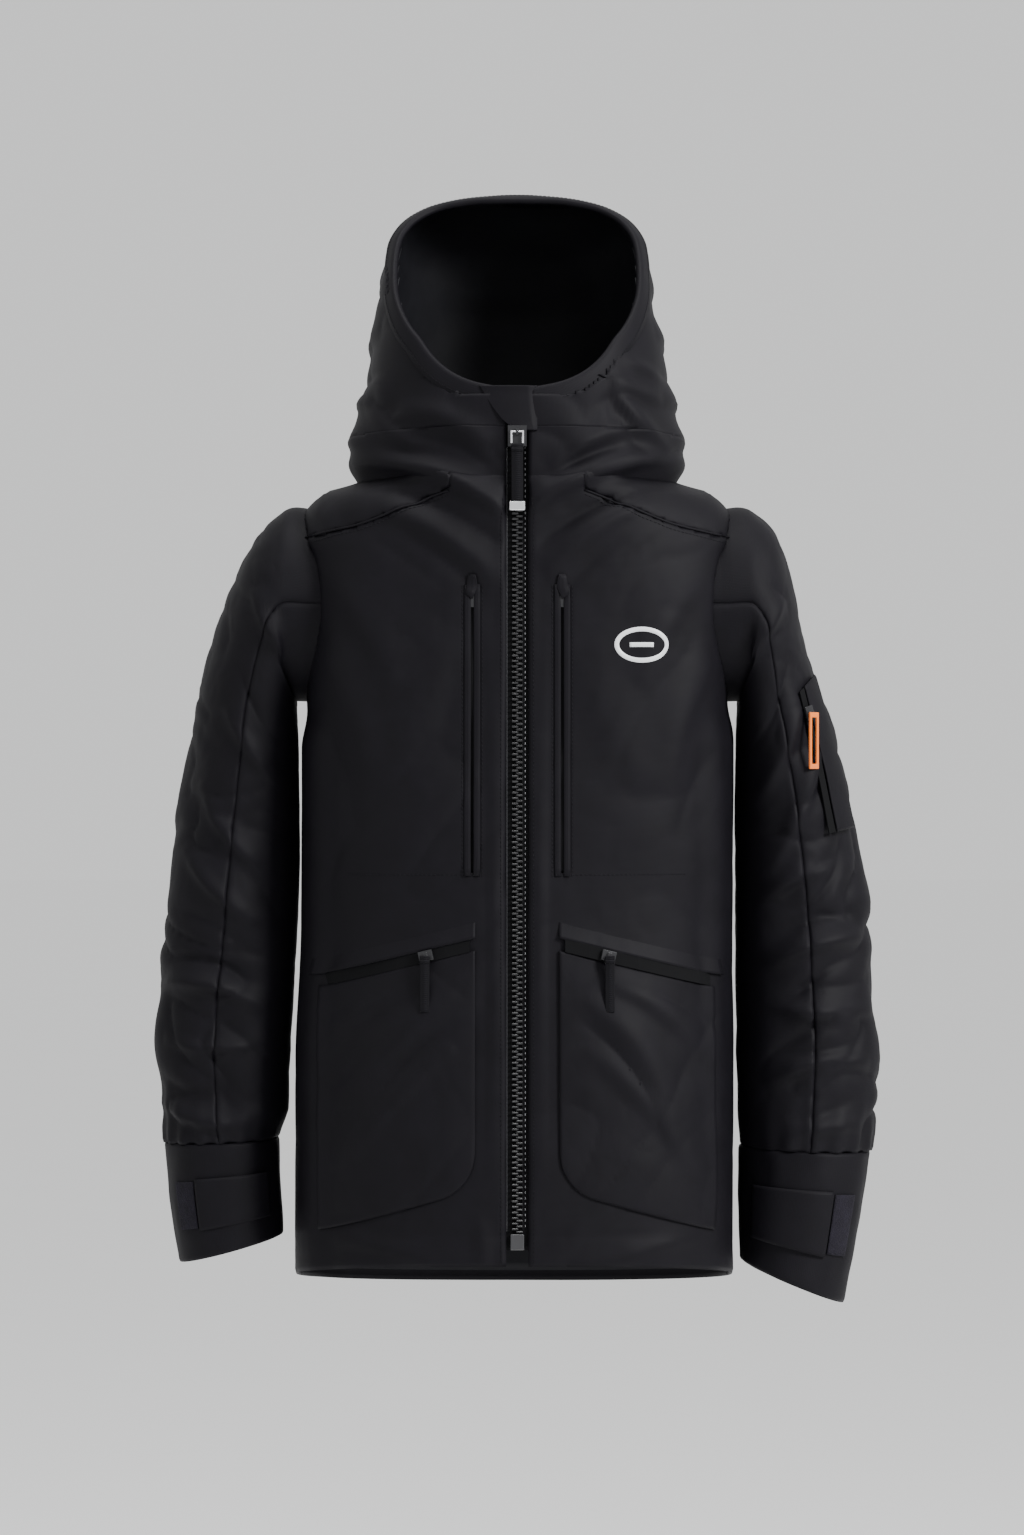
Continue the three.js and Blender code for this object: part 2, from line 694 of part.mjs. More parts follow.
function makeHandPocket(name, side) {
  const strip = (low, high) => (u, v, offset) => {
    const x = mix(handPocketX[0], handPocketX[1], u);
    return frontSurface(side * x, handLineZ(x) + mix(low, high, v), offset);
  };
  const zip = sheet(strip(...handZipSpan), [0.02, 0.98, 12], [0, 1, 1], lift, lift + stripThick);
  add("hand_zip_" + name, zip, tapeCloth);
  const flap = sheet(strip(...handFlapSpan), [0, 1, 12], [0, 1, 2], lift, lift + trimThick);
  add("hand_flap_" + name, flap, shellCloth);
  const rideLift = lift + stripThick + runningGap + 0.4;
  const spot = (x) => frontSurface(side * x, handLineZ(x), rideLift);
  const route = [handSliderX, (handSliderX + handTravelX) / 2, handTravelX].map(spot);
  const place = (offset) => frontSurface(side * handSliderX, handLineZ(handSliderX), offset);
  const outwards = place(10).sub(place(0));
  makeCurvedSlider("hand_slider_" + name, route, outwards, "hand_pull_" + name, (parent, pullName) =>
    add(
      pullName,
      block(
        [-handPullWide / 2, handPullWide / 2],
        [-pocketPullThick / 2, pocketPullThick / 2],
        [-handPullLong, 0],
      ),
      ribbonCloth,
      parent,
    ),
  );
}

// A slider on a zip that follows the cloth's curve: it turns about the centre of the circle through three
// places on its way. Its pull hangs straight down in front of its lug.
function makeCurvedSlider(name, route, outwards, pullName, makePull) {
  const [p, , r] = route;
  const { centre, axis } = circleThrough(...route);
  const along = axis.clone().cross(p.clone().sub(centre)).normalize();
  const out = outwards.clone().addScaledVector(along, -outwards.dot(along)).normalize();
  const inwards = out.clone().negate();
  const frame = new THREE.Group();
  frame.position.copy(p);
  const basis = new THREE.Matrix4().makeBasis(along, inwards, along.clone().cross(inwards));
  frame.quaternion.setFromRotationMatrix(basis);
  jacket.add(frame);
  const slider = blockSolid([-5.5, 5.5], [-2.2, 0], [-4, 4]).add(
    blockSolid([-1.4, 1.4], [-lugOut, -2], [-2.4, 2.4]),
  );
  const mesh = addSolid(name, slider, plastic, frame);
  const sweep = p.clone().sub(centre).angleTo(r.clone().sub(centre));
  mesh.userData.turn = { centre, axis, sweep };
  const pivot = p.clone().addScaledVector(out, lugOut + pocketPullThick / 2 + runningGap);
  const hang = new THREE.Group();
  hang.position.copy(pivot);
  hang.rotation.z = Math.atan2(out.y, out.x) + Math.PI / 2;
  jacket.add(hang);
  const pull = makePull(hang, pullName);
  const turn = new THREE.Vector3(1, 0, 0).applyEuler(hang.rotation);
  pull.userData.hinge = { at: pivot, axis: turn.negate() };
}

// ---- Hood and collar ----

const hoodPivotY = rowAt(hoodOutline, hoodPivotZ)[3] + 0.4;
const splitSlope = (zipTopZ - hoodPivotZ) / (frontY(zipTopZ) - hoodPivotY);
const splitZ = (y, rise) => hoodPivotZ + splitSlope * (y - hoodPivotY) + rise;

// The space above, or below, the plane where the tipping hood parts from its base.
function splitCutter(above, rise) {
  const far = above ? 500 : -500;
  const line = [
    [-300, splitZ(-300, rise)],
    [300, splitZ(300, rise)],
  ];
  const farLine = [
    [300, far],
    [-300, far],
  ];
  const corners = [...line, ...farLine];
  return sideCutter(above ? corners : corners.toReversed());
}

function faceOpening(setBack) {
  const rim = rimLine.map(([y, z]) => rimPoint(y, z, setBack));
  return sideCutter([[-400, rimLine[0][1] - setBack], ...rim, [90, 400], [-400, 400]]);
}

// The rim moved back across its own slope, so that a band of even width follows it.
function rimPoint(y, z, setBack) {
  const slope = new THREE.Vector2(0.72, -0.69);
  return [y + slope.x * setBack, z + slope.y * setBack];
}

function makeHood() {
  const heights = hoodOutline.map(([z]) => z);
  const centreCut = blockSolid([-zipOpening / 2, zipOpening / 2], [-300, 0], [-60, 90]);
  const whole = shellOf(hoodSurface, heights, 32, 0, -shellThick);
  const cap = solidOf(loft(crownRings(0)));
  const crowned = whole.add(cap);
  const open = crowned.subtract(faceOpening(0)).subtract(centreCut);
  const half = seamGap / 2;
  const foot = blockSolid([-300, 300], [-300, 300], [neckSeamZ + baseRoom, 300]).add(
    blockSolid([-300, 300], [-300, baseFrontY - seamGap], [neckSeamZ - baseDrop + seamGap, 300]),
  );
  const base = open.intersect(splitCutter(false, -half)).intersect(foot);
  for (const [name, side] of Object.entries(sides)) {
    const halfSpace = blockSolid(side > 0 ? [half, 300] : [-300, -half], [-300, 300], [-100, 300]);
    addSolid("chin_guard_" + name, base.intersect(halfSpace), shellCloth);
  }
  const upper = open.intersect(splitCutter(true, half));
  const band = upper.subtract(invertedOpening(brimWide));
  addSolid("hood_brim", band, shellCloth);
  const rest = upper.subtract(faceOpening(brimWide + seamGap));
  const stripe = hoodCentreWide / 2;
  addSolid(
    "hood_centre_panel",
    rest.intersect(blockSolid([-stripe + half, stripe - half], [0, 300], [-100, 300])),
    shellCloth,
  );
  for (const [name, side] of Object.entries(sides)) {
    const sideSpace = blockSolid(
      side > 0 ? [stripe + half, 300] : [-300, -stripe - half],
      [-300, 300],
      [-100, 300],
    );
    addSolid("hood_side_panel_" + name, rest.intersect(sideSpace), shellCloth);
  }
  makeHoodLining();
}

const invertedOpening = (setBack) =>
  blockSolid([-300, 300], [-400, 400], [-200, 400]).subtract(faceOpening(setBack));

// Closes the crown above the last ring of the hood's table.
function crownRings(offset) {
  const top = hoodOutline[hoodOutline.length - 1][0];
  const angles = Array.from({ length: 32 }, (_, i) => (2 * Math.PI * i) / 32);
  const ring = (z, lower) => angles.map((angle) => hoodSurface(angle, z, offset).setZ(z - lower));
  return [ring(top, shellThick), ring(top, -0.2)];
}

function makeHoodLining() {
  const heights = hoodOutline.map(([z]) => z).filter((z) => z < 206);
  const outside = -shellThick - liningGap;
  const flare = (z) => (z > 50 ? 0 : liningGap - lift); // it meets the outer cloth at its foot
  const surface = (angle, z, offset) => hoodSurface(angle, z, offset + flare(z));
  const lining = shellOf(surface, heights, 32, outside, outside - liningThick)
    .subtract(faceOpening(brimWide / 2))
    .intersect(splitCutter(true, 3));
  addSolid("hood_lining", lining, liningCloth);
}

// The stand-up collar inside the hood's base, behind and beside the neck.
function standSurface(angle, z, offset) {
  const [foot, half, front, back] = neckShelf[neckShelf.length - 1];
  const lean = 2 + (z - foot) * 0.06;
  const centre = new THREE.Vector3(0, (back - front) / 2, z);
  const across = new THREE.Vector3(half - lean + offset, 0, 0);
  const deep = new THREE.Vector3(0, lean - offset - (front + back) / 2, 0);
  return ovalPoint({ centre, across, deep, power: plainSquareness }, angle);
}

function makeCollarStand() {
  const foot = neckShelf[neckShelf.length - 1][0];
  const front = Math.PI / 2;
  const turn = [front + collarOpen, front + 2 * Math.PI - collarOpen, 22];
  const stand = sheet(standSurface, turn, [foot + lift, foot + collarTall, 2], -collarThick, 0);
  add("collar_stand", stand, liningCloth);
}

// The hanger loop: a cord arch on the collar stand at the back of the neck.
function makeHangerLoop() {
  const half = loopWide / 2;
  const foot = loopTop.z - loopTall;
  const curve = new THREE.CatmullRomCurve3(
    [
      [-half, foot],
      [-half + 1, foot + loopTall * 0.6],
      [-half * 0.55, loopTop.z - 1],
      [0, loopTop.z],
      [half * 0.55, loopTop.z - 1],
      [half - 1, foot + loopTall * 0.6],
      [half, foot],
    ].map(([x, z]) => new THREE.Vector3(x, loopTop.y, z)),
  );
  const section = new THREE.Shape().absarc(0, 0, loopWire / 2, 0, 2 * Math.PI);
  const geometry = new THREE.ExtrudeGeometry(section, { extrudePath: curve, steps: 18, curveSegments: 5 });
  add("hanger_loop", geometry, ribbonCloth);
}

// A spring cord lock: a barrel with a push button that sinks into it.
function makeCordLock(name, position, down) {
  const frame = new THREE.Group();
  frame.position.copy(position);
  if (down) frame.rotation.x = Math.PI;
  jacket.add(frame);
  const half = lockWide / 2;
  const barrel = blockSolid([-half, half], [-4.5, 4.5], [-9, 6]).subtract(
    blockSolid([-half + 2, half - 2], [-3, 3], [-4, 10]),
  );
  addSolid(name + "_cord_lock", barrel, plastic, frame);
  const button = block([-half + 2 + runningGap, half - 2 - runningGap], [-2.6, 2.6], [2, 10.5]);
  const mesh = add(name + "_lock_button", button, plastic, frame);
  mesh.userData.slide = { travel: 4.5 };
}

function makeCordLocks() {
  const hoodBack = hoodSurface(-Math.PI / 2, 70, 0);
  makeCordLock("hood", new THREE.Vector3(0, hoodBack.y + 4.5 + lift, hoodBack.z), false);
  const inside = shellThick + lift + liningThick;
  for (const [name, side] of Object.entries(sides)) {
    const wall = bodySurface(side > 0 ? 0 : Math.PI, hemLockZ, -inside);
    const seat = wall.x - side * (lockWide / 2 + lift);
    makeCordLock("hem_" + name, new THREE.Vector3(seat, wall.y, hemLockZ), true);
  }
}

// ---- Sleeves ----

const cuffStart = 1 - cuffLong;
const sleeveRows = 12; // facets along a sleeve above its cuff

function makeSleeve(name, side, rows) {
  const surface = sleeveSurface(side, rows);
  const seam = seamGap / 2 / 55;
  const quarter = Math.PI / 2;
  const along = [0, cuffStart - 0.0008, sleeveRows];
  add(
    "sleeve_outer_" + name,
    sheet(surface, [-quarter + seam, quarter - seam, 12], along, -sleeveThick, 0),
    shellCloth,
  );
  add(
    "sleeve_under_" + name,
    sheet(surface, [quarter + seam, 3 * quarter - seam, 12], along, -sleeveThick, 0),
    shellCloth,
  );
  const cuff = sheet(surface, [0, 4 * quarter, 24], [cuffStart, 1, 3], -sleeveThick, 0, true);
  add("cuff_" + name, cuff, shellCloth);
  const gaiterSpan = [cuffStart + gaiterStart, gaiterEnd, 4];
  const narrowing = (v) => Math.min(1, (v - gaiterSpan[0]) / gaiterSlope) * gaiterInset;
  const knitted = (angle, v, offset) =>
    surface(angle, v, offset - narrowing(v) - sleeveThick - runningGap);
  const gaiter = sheet(knitted, [0, 4 * quarter, 20], gaiterSpan, -gaiterThick, 0, true);
  add("wrist_gaiter_" + name, gaiter, knit);
  makeCuffTab(name, surface);
  return surface;
}

function makeCuffTab(name, surface) {
  const [sewn, free] = tabAngles.map(THREE.MathUtils.degToRad);
  const tab = sheet(surface, [free, sewn, 6], [...tabSpan, 1], lift, lift + tabThick);
  const mesh = add("cuff_tab_" + name, tab, ribbonCloth);
  const [low, high] = tabSpan.toReversed().map((v) => surface(sewn, v, lift + tabThick / 2));
  mesh.userData.hinge = { at: low.clone().add(high).multiplyScalar(0.5), axis: high.sub(low).normalize() };
}

function makeSleevePocket(surface) {
  const [outer, inner] = pocketAngles.map(THREE.MathUtils.degToRad);
  const [top, bottom] = pocketRows.map((row) => (row * cuffStart) / sleeveRows);
  const low = lift * 0.75;
  const panelEdge = inner - pocketZipTurn - pocketZipGap;
  const panel = sheet(surface, [outer, panelEdge, 4], [top, bottom, 4], low, low + trimThick);
  add("sleeve_pocket", panel, shellCloth);
  const zip = sheet(surface, [inner - pocketZipTurn, inner, 1], [top, bottom, 4], low, low + stripThick);
  add("sleeve_zip", zip, tapeCloth);
  const middle = inner - pocketZipTurn / 2;
  const first = top + pocketSliderDrop;
  const onCloth = (offset) => surface(middle, first, offset);
  const onZip = (v) => surface(middle, v, low + stripThick + runningGap + 0.5);
  const route = [first, (top + bottom) / 2, bottom - pocketSliderStop].map(onZip);
  const outwards = onCloth(10).sub(onCloth(0));
  makeCurvedSlider("sleeve_slider", route, outwards, "sleeve_pull", (parent, pullName) => {
    const [wide, long] = sleevePullSize;
    const round = pocketPullThick / 2;
    const loop = blockSolid([-wide / 2, wide / 2], [-round, round], [-long, 0]).subtract(
      blockSolid([-wide / 4, wide / 4], [-3, 3], [-long + 4, -4]),
    );
    return addSolid(pullName, loop, orangeCord, parent);
  });
}

jacket.userData.hoodPivot = [hoodPivotY, hoodPivotZ];
makeBody();
makeLining();
makePowderSkirt();
makeMainZip();
makeHood();
makeCollarStand();
makeHangerLoop();
makeCordLocks();
for (const [name, side] of Object.entries(sides)) {
  makeChestPocket(name, side);
  makeHandPocket(name, side);
}
makeSleeve("right", -1, sleeveRight);
makeSleevePocket(makeSleeve("left", 1, sleeveLeft));

export default jacket;
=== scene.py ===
# A hooded ski jacket that stands as if worn, made piece by piece around its frame.
# Metres, +Z up, -Y is the front.
import math

import bmesh
import bpy
import numpy as np
from mathutils import Matrix, Vector
from mathutils.bvhtree import BVHTree


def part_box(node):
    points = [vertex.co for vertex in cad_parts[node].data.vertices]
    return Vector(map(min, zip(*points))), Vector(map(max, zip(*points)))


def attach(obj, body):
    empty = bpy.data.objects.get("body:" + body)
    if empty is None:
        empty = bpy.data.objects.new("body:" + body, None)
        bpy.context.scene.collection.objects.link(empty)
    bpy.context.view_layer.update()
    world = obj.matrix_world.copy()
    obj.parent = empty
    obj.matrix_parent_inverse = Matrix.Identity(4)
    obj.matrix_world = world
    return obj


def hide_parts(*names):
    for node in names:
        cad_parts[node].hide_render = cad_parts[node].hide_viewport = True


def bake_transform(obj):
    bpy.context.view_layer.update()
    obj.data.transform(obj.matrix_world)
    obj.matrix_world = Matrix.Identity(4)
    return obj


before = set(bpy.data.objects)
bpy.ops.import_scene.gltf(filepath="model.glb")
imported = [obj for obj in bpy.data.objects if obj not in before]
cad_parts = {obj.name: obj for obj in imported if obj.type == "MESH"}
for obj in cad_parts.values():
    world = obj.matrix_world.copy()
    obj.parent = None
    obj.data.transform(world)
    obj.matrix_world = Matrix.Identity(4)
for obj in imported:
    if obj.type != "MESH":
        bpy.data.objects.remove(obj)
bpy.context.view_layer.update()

mm = 0.001
toFrame = Vector((0, -0.07589, -0.024))  # from the garment's own centre to the hanger loop's top
rad = math.radians

# the garment's surfaces, the same as the frame's, in millimetres
bodyShape = {
    "frontTop": (-101.5, 22), "frontHem": (-140, -606), "hemSide": -640, "hemSlope": 0.15,
    # height, half width, depth behind the middle, squareness
    "rows": [(-690, 169, 116, 2.5), (-600, 168, 116, 2.5), (-480, 166, 113, 2.5), (-360, 164, 112, 2.5),
             (-250, 164, 116, 2.8), (-170, 166, 121, 3.1), (-110, 169, 124, 3.2), (-70, 171, 123, 3),
             (-46, 168, 121, 2.7), (-31, 157, 120, 2.5), (-22, 140, 119, 2.4), (-14, 122, 118, 2.35)],
}
hoodShape = {
    "squareness": 2.35,
    # height, half width, front, back
    "rows": [(-20, 123, 104.2, 117), (-14, 124, 103.6, 119), (0, 126, 102.8, 127), (15, 127, 101.9, 133),
             (50, 122, 99.8, 141), (90, 114, 96, 145), (125, 109, 88, 143), (150, 105, 72, 137),
             (176, 100, 42, 126), (192, 91, 14, 113), (204, 74, -10, 99), (211, 52, -28, 84),
             (215, 20, -45, 66), (215.8, 2, -54, 58)],
    # the face opening seen from the side: place along y, height
    "rim": [(-100, 52), (-92, 64), (-74, 92), (-50, 117), (-28, 140), (-5, 165), (16, 188), (34, 206),
            (42, 225)],
}
sleeveShape = {
    "radius": 75, "room": 0.8, "centre": (4, -113), "cuffStart": 0.865,
    # inner edge x, z; outer edge x, z; half depth; middle's y
    "head": [(146, -188, 146, -38, 75, 4), (163, -188, 163, -38, 75, 4), (181, -188, 183, -38, 75, 4)],
    "right": [(180, -194, 205, -58, 73, 4), (177, -206, 228, -105, 70, 5), (174.5, -222, 246, -158, 66, 6),
              (173.5, -256, 259, -225, 62, 8), (173.5, -305, 271, -290, 60, 9), (176, -350, 277, -345, 58, 9),
              (182, -405, 282, -405, 56, 7), (188, -462, 284, -462, 54, 3), (188, -520, 279, -522, 51, -2),
              (186, -566, 274, -576, 48, -7), (184, -606, 266, -628, 46, -11)],
    "left": [(180, -194, 203, -58, 73, 4), (177, -206, 220, -105, 70, 5), (174.5, -222, 233, -158, 66, 6),
             (173.5, -256, 251, -220, 62, 8), (173.5, -305, 267, -285, 60, 9),
             (174.5, -350, 277, -345, 58, 9),
             (176.5, -405, 282, -405, 56, 7), (178, -465, 285, -465, 54, 3), (176, -525, 281, -528, 51, -2),
             (174.5, -578, 271, -588, 48, -7), (174.5, -626, 257, -660, 46, -11)],
}
sides = {"left": 1, "right": -1}
frontSlope = (bodyShape["frontTop"][0] - bodyShape["frontHem"][0]) / (
    bodyShape["frontTop"][1] - bodyShape["frontHem"][1])


def frontLine(z):
    return bodyShape["frontTop"][0] + frontSlope * (z - bodyShape["frontTop"][1])


def smoothTable(table, column, z):  # a monotone curve through one column of a table of rows
    x = np.array([row[0] for row in table], float)
    y = np.array([row[column] for row in table], float)
    step, grade = np.diff(x), np.diff(y) / np.diff(x)
    before, after = grade[:-1], grade[1:]
    slope = np.concatenate([[grade[0]], np.zeros(len(x) - 2), [grade[-1]]])
    same = after * before > 0
    slope[1:-1][same] = 2 * after[same] * before[same] / (after[same] + before[same])
    z = np.clip(z, x[0], x[-1])
    k = np.clip(np.searchsorted(x, z, side="right") - 1, 0, len(x) - 2)
    t = (z - x[k]) / step[k]
    return (y[k] * (1 + 2 * t) * (1 - t) ** 2 + y[k + 1] * t * t * (3 - 2 * t)
            + step[k] * (slope[k] * t * (1 - t) ** 2 - slope[k + 1] * t * t * (1 - t)))


def bodyRing(z):  # half width, middle's y, half depth, squareness
    rows = bodyShape["rows"]
    front, back = -frontLine(z), smoothTable(rows, 2, z)
    return smoothTable(rows, 1, z), (back - front) / 2, (back + front) / 2, smoothTable(rows, 3, z)


def hoodRing(z):
    rows = hoodShape["rows"]
    front, back = smoothTable(rows, 2, z), smoothTable(rows, 3, z)
    power = np.full(np.shape(z), hoodShape["squareness"])
    return smoothTable(rows, 1, z), (back - front) / 2, (back + front) / 2, power


def roundLoop(half, middle, deep, power, angle, z):  # angle 0 is the wearer's left, 90 the front
    cos, sin = np.cos(angle), np.sin(angle)
    x = half * np.sign(cos) * np.abs(cos) ** (2 / power)
    y = middle - deep * np.sign(sin) * np.abs(sin) ** (2 / power)
    return np.stack([x, y, z * np.ones_like(x)], -1)


def onRing(ring, angle, z, inset=0):
    half, middle, deep, power = ring(z)
    return roundLoop(half - inset, middle, deep - inset, power, angle, z)


def sideOf(ring, side, y, z, inset=0):  # the point of a ring over a place seen from the side
    half, middle, deep, power = ring(z)
    share = np.clip(np.abs((y - middle) / (deep - inset)), 0, 1)
    x = side * (half - inset) * (1 - share ** power) ** (1 / power)
    return np.stack([x, y * np.ones_like(x), z * np.ones_like(x)], -1)


def frontOf(x, z, out=0):  # the point of the body's front over a place seen from the front
    half, middle, deep, power = bodyRing(np.asarray(z, float))
    share = np.clip(np.abs(x / half), 0, 1)
    y = middle - (deep + out) * (1 - share ** power) ** (1 / power)
    return np.stack([x * np.ones_like(y), y, z * np.ones_like(y)], -1)


ringSteps = 700  # how finely a ring is measured


def evenAngles(ring, z, first, last, count):  # angles at even distances round a ring
    angle = np.linspace(first, last, ringSteps)
    points = onRing(ring, angle, np.full(angle.shape, float(z)))
    length = np.concatenate([[0], np.cumsum(np.linalg.norm(np.diff(points, axis=0), axis=1))])
    return np.interp(np.linspace(0, length[-1], count), length, angle), length[-1]


def ringStart(ring, z, edge):  # the angle at which a ring's front edge stands
    half, _, _, power = ring(np.array(z))
    return math.acos((edge / half) ** (power / 2))


def splineAt(values, t):  # the curve that the frame's sleeves follow, through evenly numbered points
    values = np.array(values, float)
    t = np.clip(t, 0, 1) * (len(values) - 1)
    k = np.clip(t.astype(int), 0, len(values) - 2)
    f = (t - k)[:, None]
    padded = np.concatenate([[2 * values[0] - values[1]], values, [2 * values[-1] - values[-2]]])
    before, a, b, after = padded[k], padded[k + 1], padded[k + 2], padded[k + 3]
    m0, m1 = 0.4 * (b - before), 0.4 * (after - a)
    return ((2 * f ** 3 - 3 * f ** 2 + 1) * a + (f ** 3 - 2 * f ** 2 + f) * m0
            + (3 * f ** 2 - 2 * f ** 3) * b + (f ** 3 - f ** 2) * m1)


def onSleeve(side, angle, v, out=0):  # v runs from the armhole to the cuff's end, angle 0 is the outer side
    name = "left" if side > 0 else "right"
    row = splineAt(sleeveShape["head"] + sleeveShape[name], np.asarray(v, float) * np.ones_like(angle))
    inner = np.stack([side * row[:, 0], row[:, 5], row[:, 1]], -1)
    outer = np.stack([side * row[:, 2], row[:, 5], row[:, 3]], -1)
    centre, across = (inner + outer) / 2, (outer - inner) / 2
    width = np.linalg.norm(across, axis=1, keepdims=True)
    deep = row[:, 4:5]
    cos, sin = np.cos(angle)[:, None], np.sin(angle)[:, None]
    normal = np.concatenate([cos / width, sin / deep], 1)
    normal /= np.linalg.norm(normal, axis=1, keepdims=True)
    front = np.array([[0, -1.0, 0]])
    out = np.asarray(out, float) * np.ones(len(angle))
    return (centre + across * cos + front * deep * sin
            + (across / width * normal[:, :1] + front * normal[:, 1:]) * out[:, None])


def sleeveMiddle(side, v):  # a place on the sleeve's middle line
    return tuple(onSleeve(side, np.array([0.0, math.pi]), np.full(2, v)).mean(axis=0))


def slant(degrees):  # a turn in the plane of the front
    c, s = math.cos(rad(degrees)), math.sin(rad(degrees))
    return np.array([[c, 0, s], [0, 1, 0], [-s, 0, c]])


def tilt(degrees):  # a turn in the plane of the side
    c, s = math.cos(rad(degrees)), math.sin(rad(degrees))
    return np.array([[1, 0, 0], [0, c, s], [0, -s, c]])


def softNoise(points, size, seed):  # smooth noise from -1 to 1, of two lattices turned against each other
    p = np.asarray(points, float) / np.asarray(size, float)
    turned = p @ slant(37 + seed * 11) @ tilt(29) * 1.27
    return 0.62 * latticeNoise(p @ tilt(seed * 7 + 13), seed) + 0.55 * latticeNoise(turned, seed + 0.5)


lattice = {"shift": 17.31, "turn": np.array([127.1, 311.7, 74.7]), "phase": 3.7, "gain": 43758.5453}


def latticeNoise(points, seed):
    p = points + seed * lattice["shift"]
    base = np.floor(p)
    f = p - base
    f = f * f * f * (f * (f * 6 - 15) + 10)
    total = np.zeros(len(p))
    for corner in range(8):
        offset = np.array([corner & 1, corner >> 1 & 1, corner >> 2 & 1])
        q = base + offset
        value = np.sin(q @ lattice["turn"] + seed * lattice["phase"]) * lattice["gain"]
        weight = np.prod(np.where(offset, f, 1 - f), axis=1)
        total += weight * (value - np.floor(value))
    return total * 2 - 1


def ridged(points, size, seed):  # broad rounded swells with narrow creases between them, 0 to 1
    return np.sqrt(np.abs(softNoise(points, size, seed)) + 0.004)


def rise(value, low, high):
    t = np.clip((value - low) / (high - low), 0, 1)
    return t * t * (3 - 2 * t)


def folds(u, w, table):  # each fold: from, to, bow, width, height; a negative height is a crease
    total = np.zeros(len(u))
    for u0, w0, u1, w1, bow, wide, high in table:
        du, dw = u1 - u0, w1 - w0
        long = math.hypot(du, dw)
        t = ((u - u0) * du + (w - w0) * dw) / long ** 2
        away = ((u - u0) * -dw + (w - w0) * du) / long - bow * 4 * t * (1 - t)
        ends = np.sin(np.pi * np.clip(t, 0, 1)) ** 0.7
        if high < 0:
            total += high * np.exp(-np.abs(away) / wide) * ends
        else:  # a fold is steeper on one side than on the other
            reach = np.where(away * np.sign(du or 1) < 0, wide * 0.6, wide)
            total += high * np.exp(-(away / reach) ** 2) * ends
    return total


bodyFolds = {
    "swell": 3.2, "crumple": 2.6, "fine": 0.5, "gain": 1.45, "throatGain": 1.3, "limits": (-6, 9),
    "swellSize": (95, 120, 130), "crumpleSize": (42, 60, 120), "fineSize": (16, 20, 24),
    "warp": 18, "warpSize": 80, "hemSeam": 24, "hemSeamDeep": 0.9,
    # seen from the front, in x and z
    "front": [
        (52, -100, 122, -54, 0, 3, -1.1), (-52, -104, -118, -58, 0, 3, -0.9),
        (-150, -90, -92, -190, 10, 16, 2.2), (-158, -130, -110, -260, 8, 14, 2),
        (-162, -190, -120, -300, 8, 9, -1.6), (150, -90, 96, -180, -10, 16, 2),
        (160, -140, 116, -262, -10, 14, 2.4), (163, -210, 122, -300, -6, 9, -1.8),
        (-52, -130, -104, -250, 8, 22, 1.6), (56, -140, 96, -260, -8, 24, 1.4),
        (46, -412, 122, -512, 10, 15, 3.2), (60, -398, 150, -470, 10, 12, 2.6),
        (52, -452, 138, -556, 8, 13, 2.8), (44, -430, 112, -532, 12, 6, -1.6),
        (72, -404, 158, -446, 6, 6, -1.4), (-46, -412, -130, -506, -10, 15, 3),
        (-62, -398, -152, -464, -10, 12, 2.4), (-48, -452, -136, -552, -8, 13, 2.8),
        (-46, -432, -118, -530, -12, 6, -1.6), (-70, -404, -158, -444, -6, 6, -1.2),
        (-20, -130, -19, -560, 2, 5, 1.1), (21, -130, 20, -560, -2, 5, 1.1),
        (-150, -600, -60, -618, 4, 9, 1.8), (150, -600, 64, -620, -4, 9, 1.8),
        (-30, -575, -24, -636, 0, 8, 1.4),
    ],
    "back": [
        (-120, -110, -30, -190, 14, 20, 3), (120, -110, 34, -184, -14, 20, 3),
        (-150, -170, -60, -290, 12, 16, 2.6), (150, -170, 64, -300, -12, 16, 2.6),
        (-110, -330, 90, -360, 10, 14, 2.4), (-130, -420, 60, -440, -8, 14, 2.2),
        (-60, -470, 130, -500, 8, 16, 2.4), (-140, -540, -20, -600, 10, 14, 2.4),
        (130, -530, 40, -610, -8, 14, 2.4), (-100, -240, -96, -420, 12, 10, -1.8),
        (96, -250, 92, -430, -12, 10, -1.8),
    ],
}
# folds of the throat, shared by the body and the hood's base: the cloth rolls from the neck down to the zip
throatFolds = [
    (-132, 0, 4, -54, 12, 10, 7.5), (-124, -20, -6, -74, 9, 6, -4.2), (-110, -38, -14, -98, 6, 11, 4),
    (-88, -58, -22, -112, 3, 6, -2), (134, 2, -4, -50, -12, 10, 7.5), (122, -20, 14, -70, -8, 6, -4.4),
    (104, -34, 20, -92, -6, 11, 4.2), (84, -62, 26, -116, -3, 6, -2), (-96, 34, -20, 6, 8, 11, 4.6),
    (-84, 16, -16, -14, 6, 5, -2.8), (92, 22, 24, -10, -6, 10, 4.2), (78, 8, 22, -22, -4, 5, -2.6),
]


def handLine(x):
    return -375 - 0.25 * (np.abs(x) - 34)


def bagEdge(x):  # the lower edge of a hand pocket's bag
    return -569 - 0.3 * (np.abs(x) - 60)


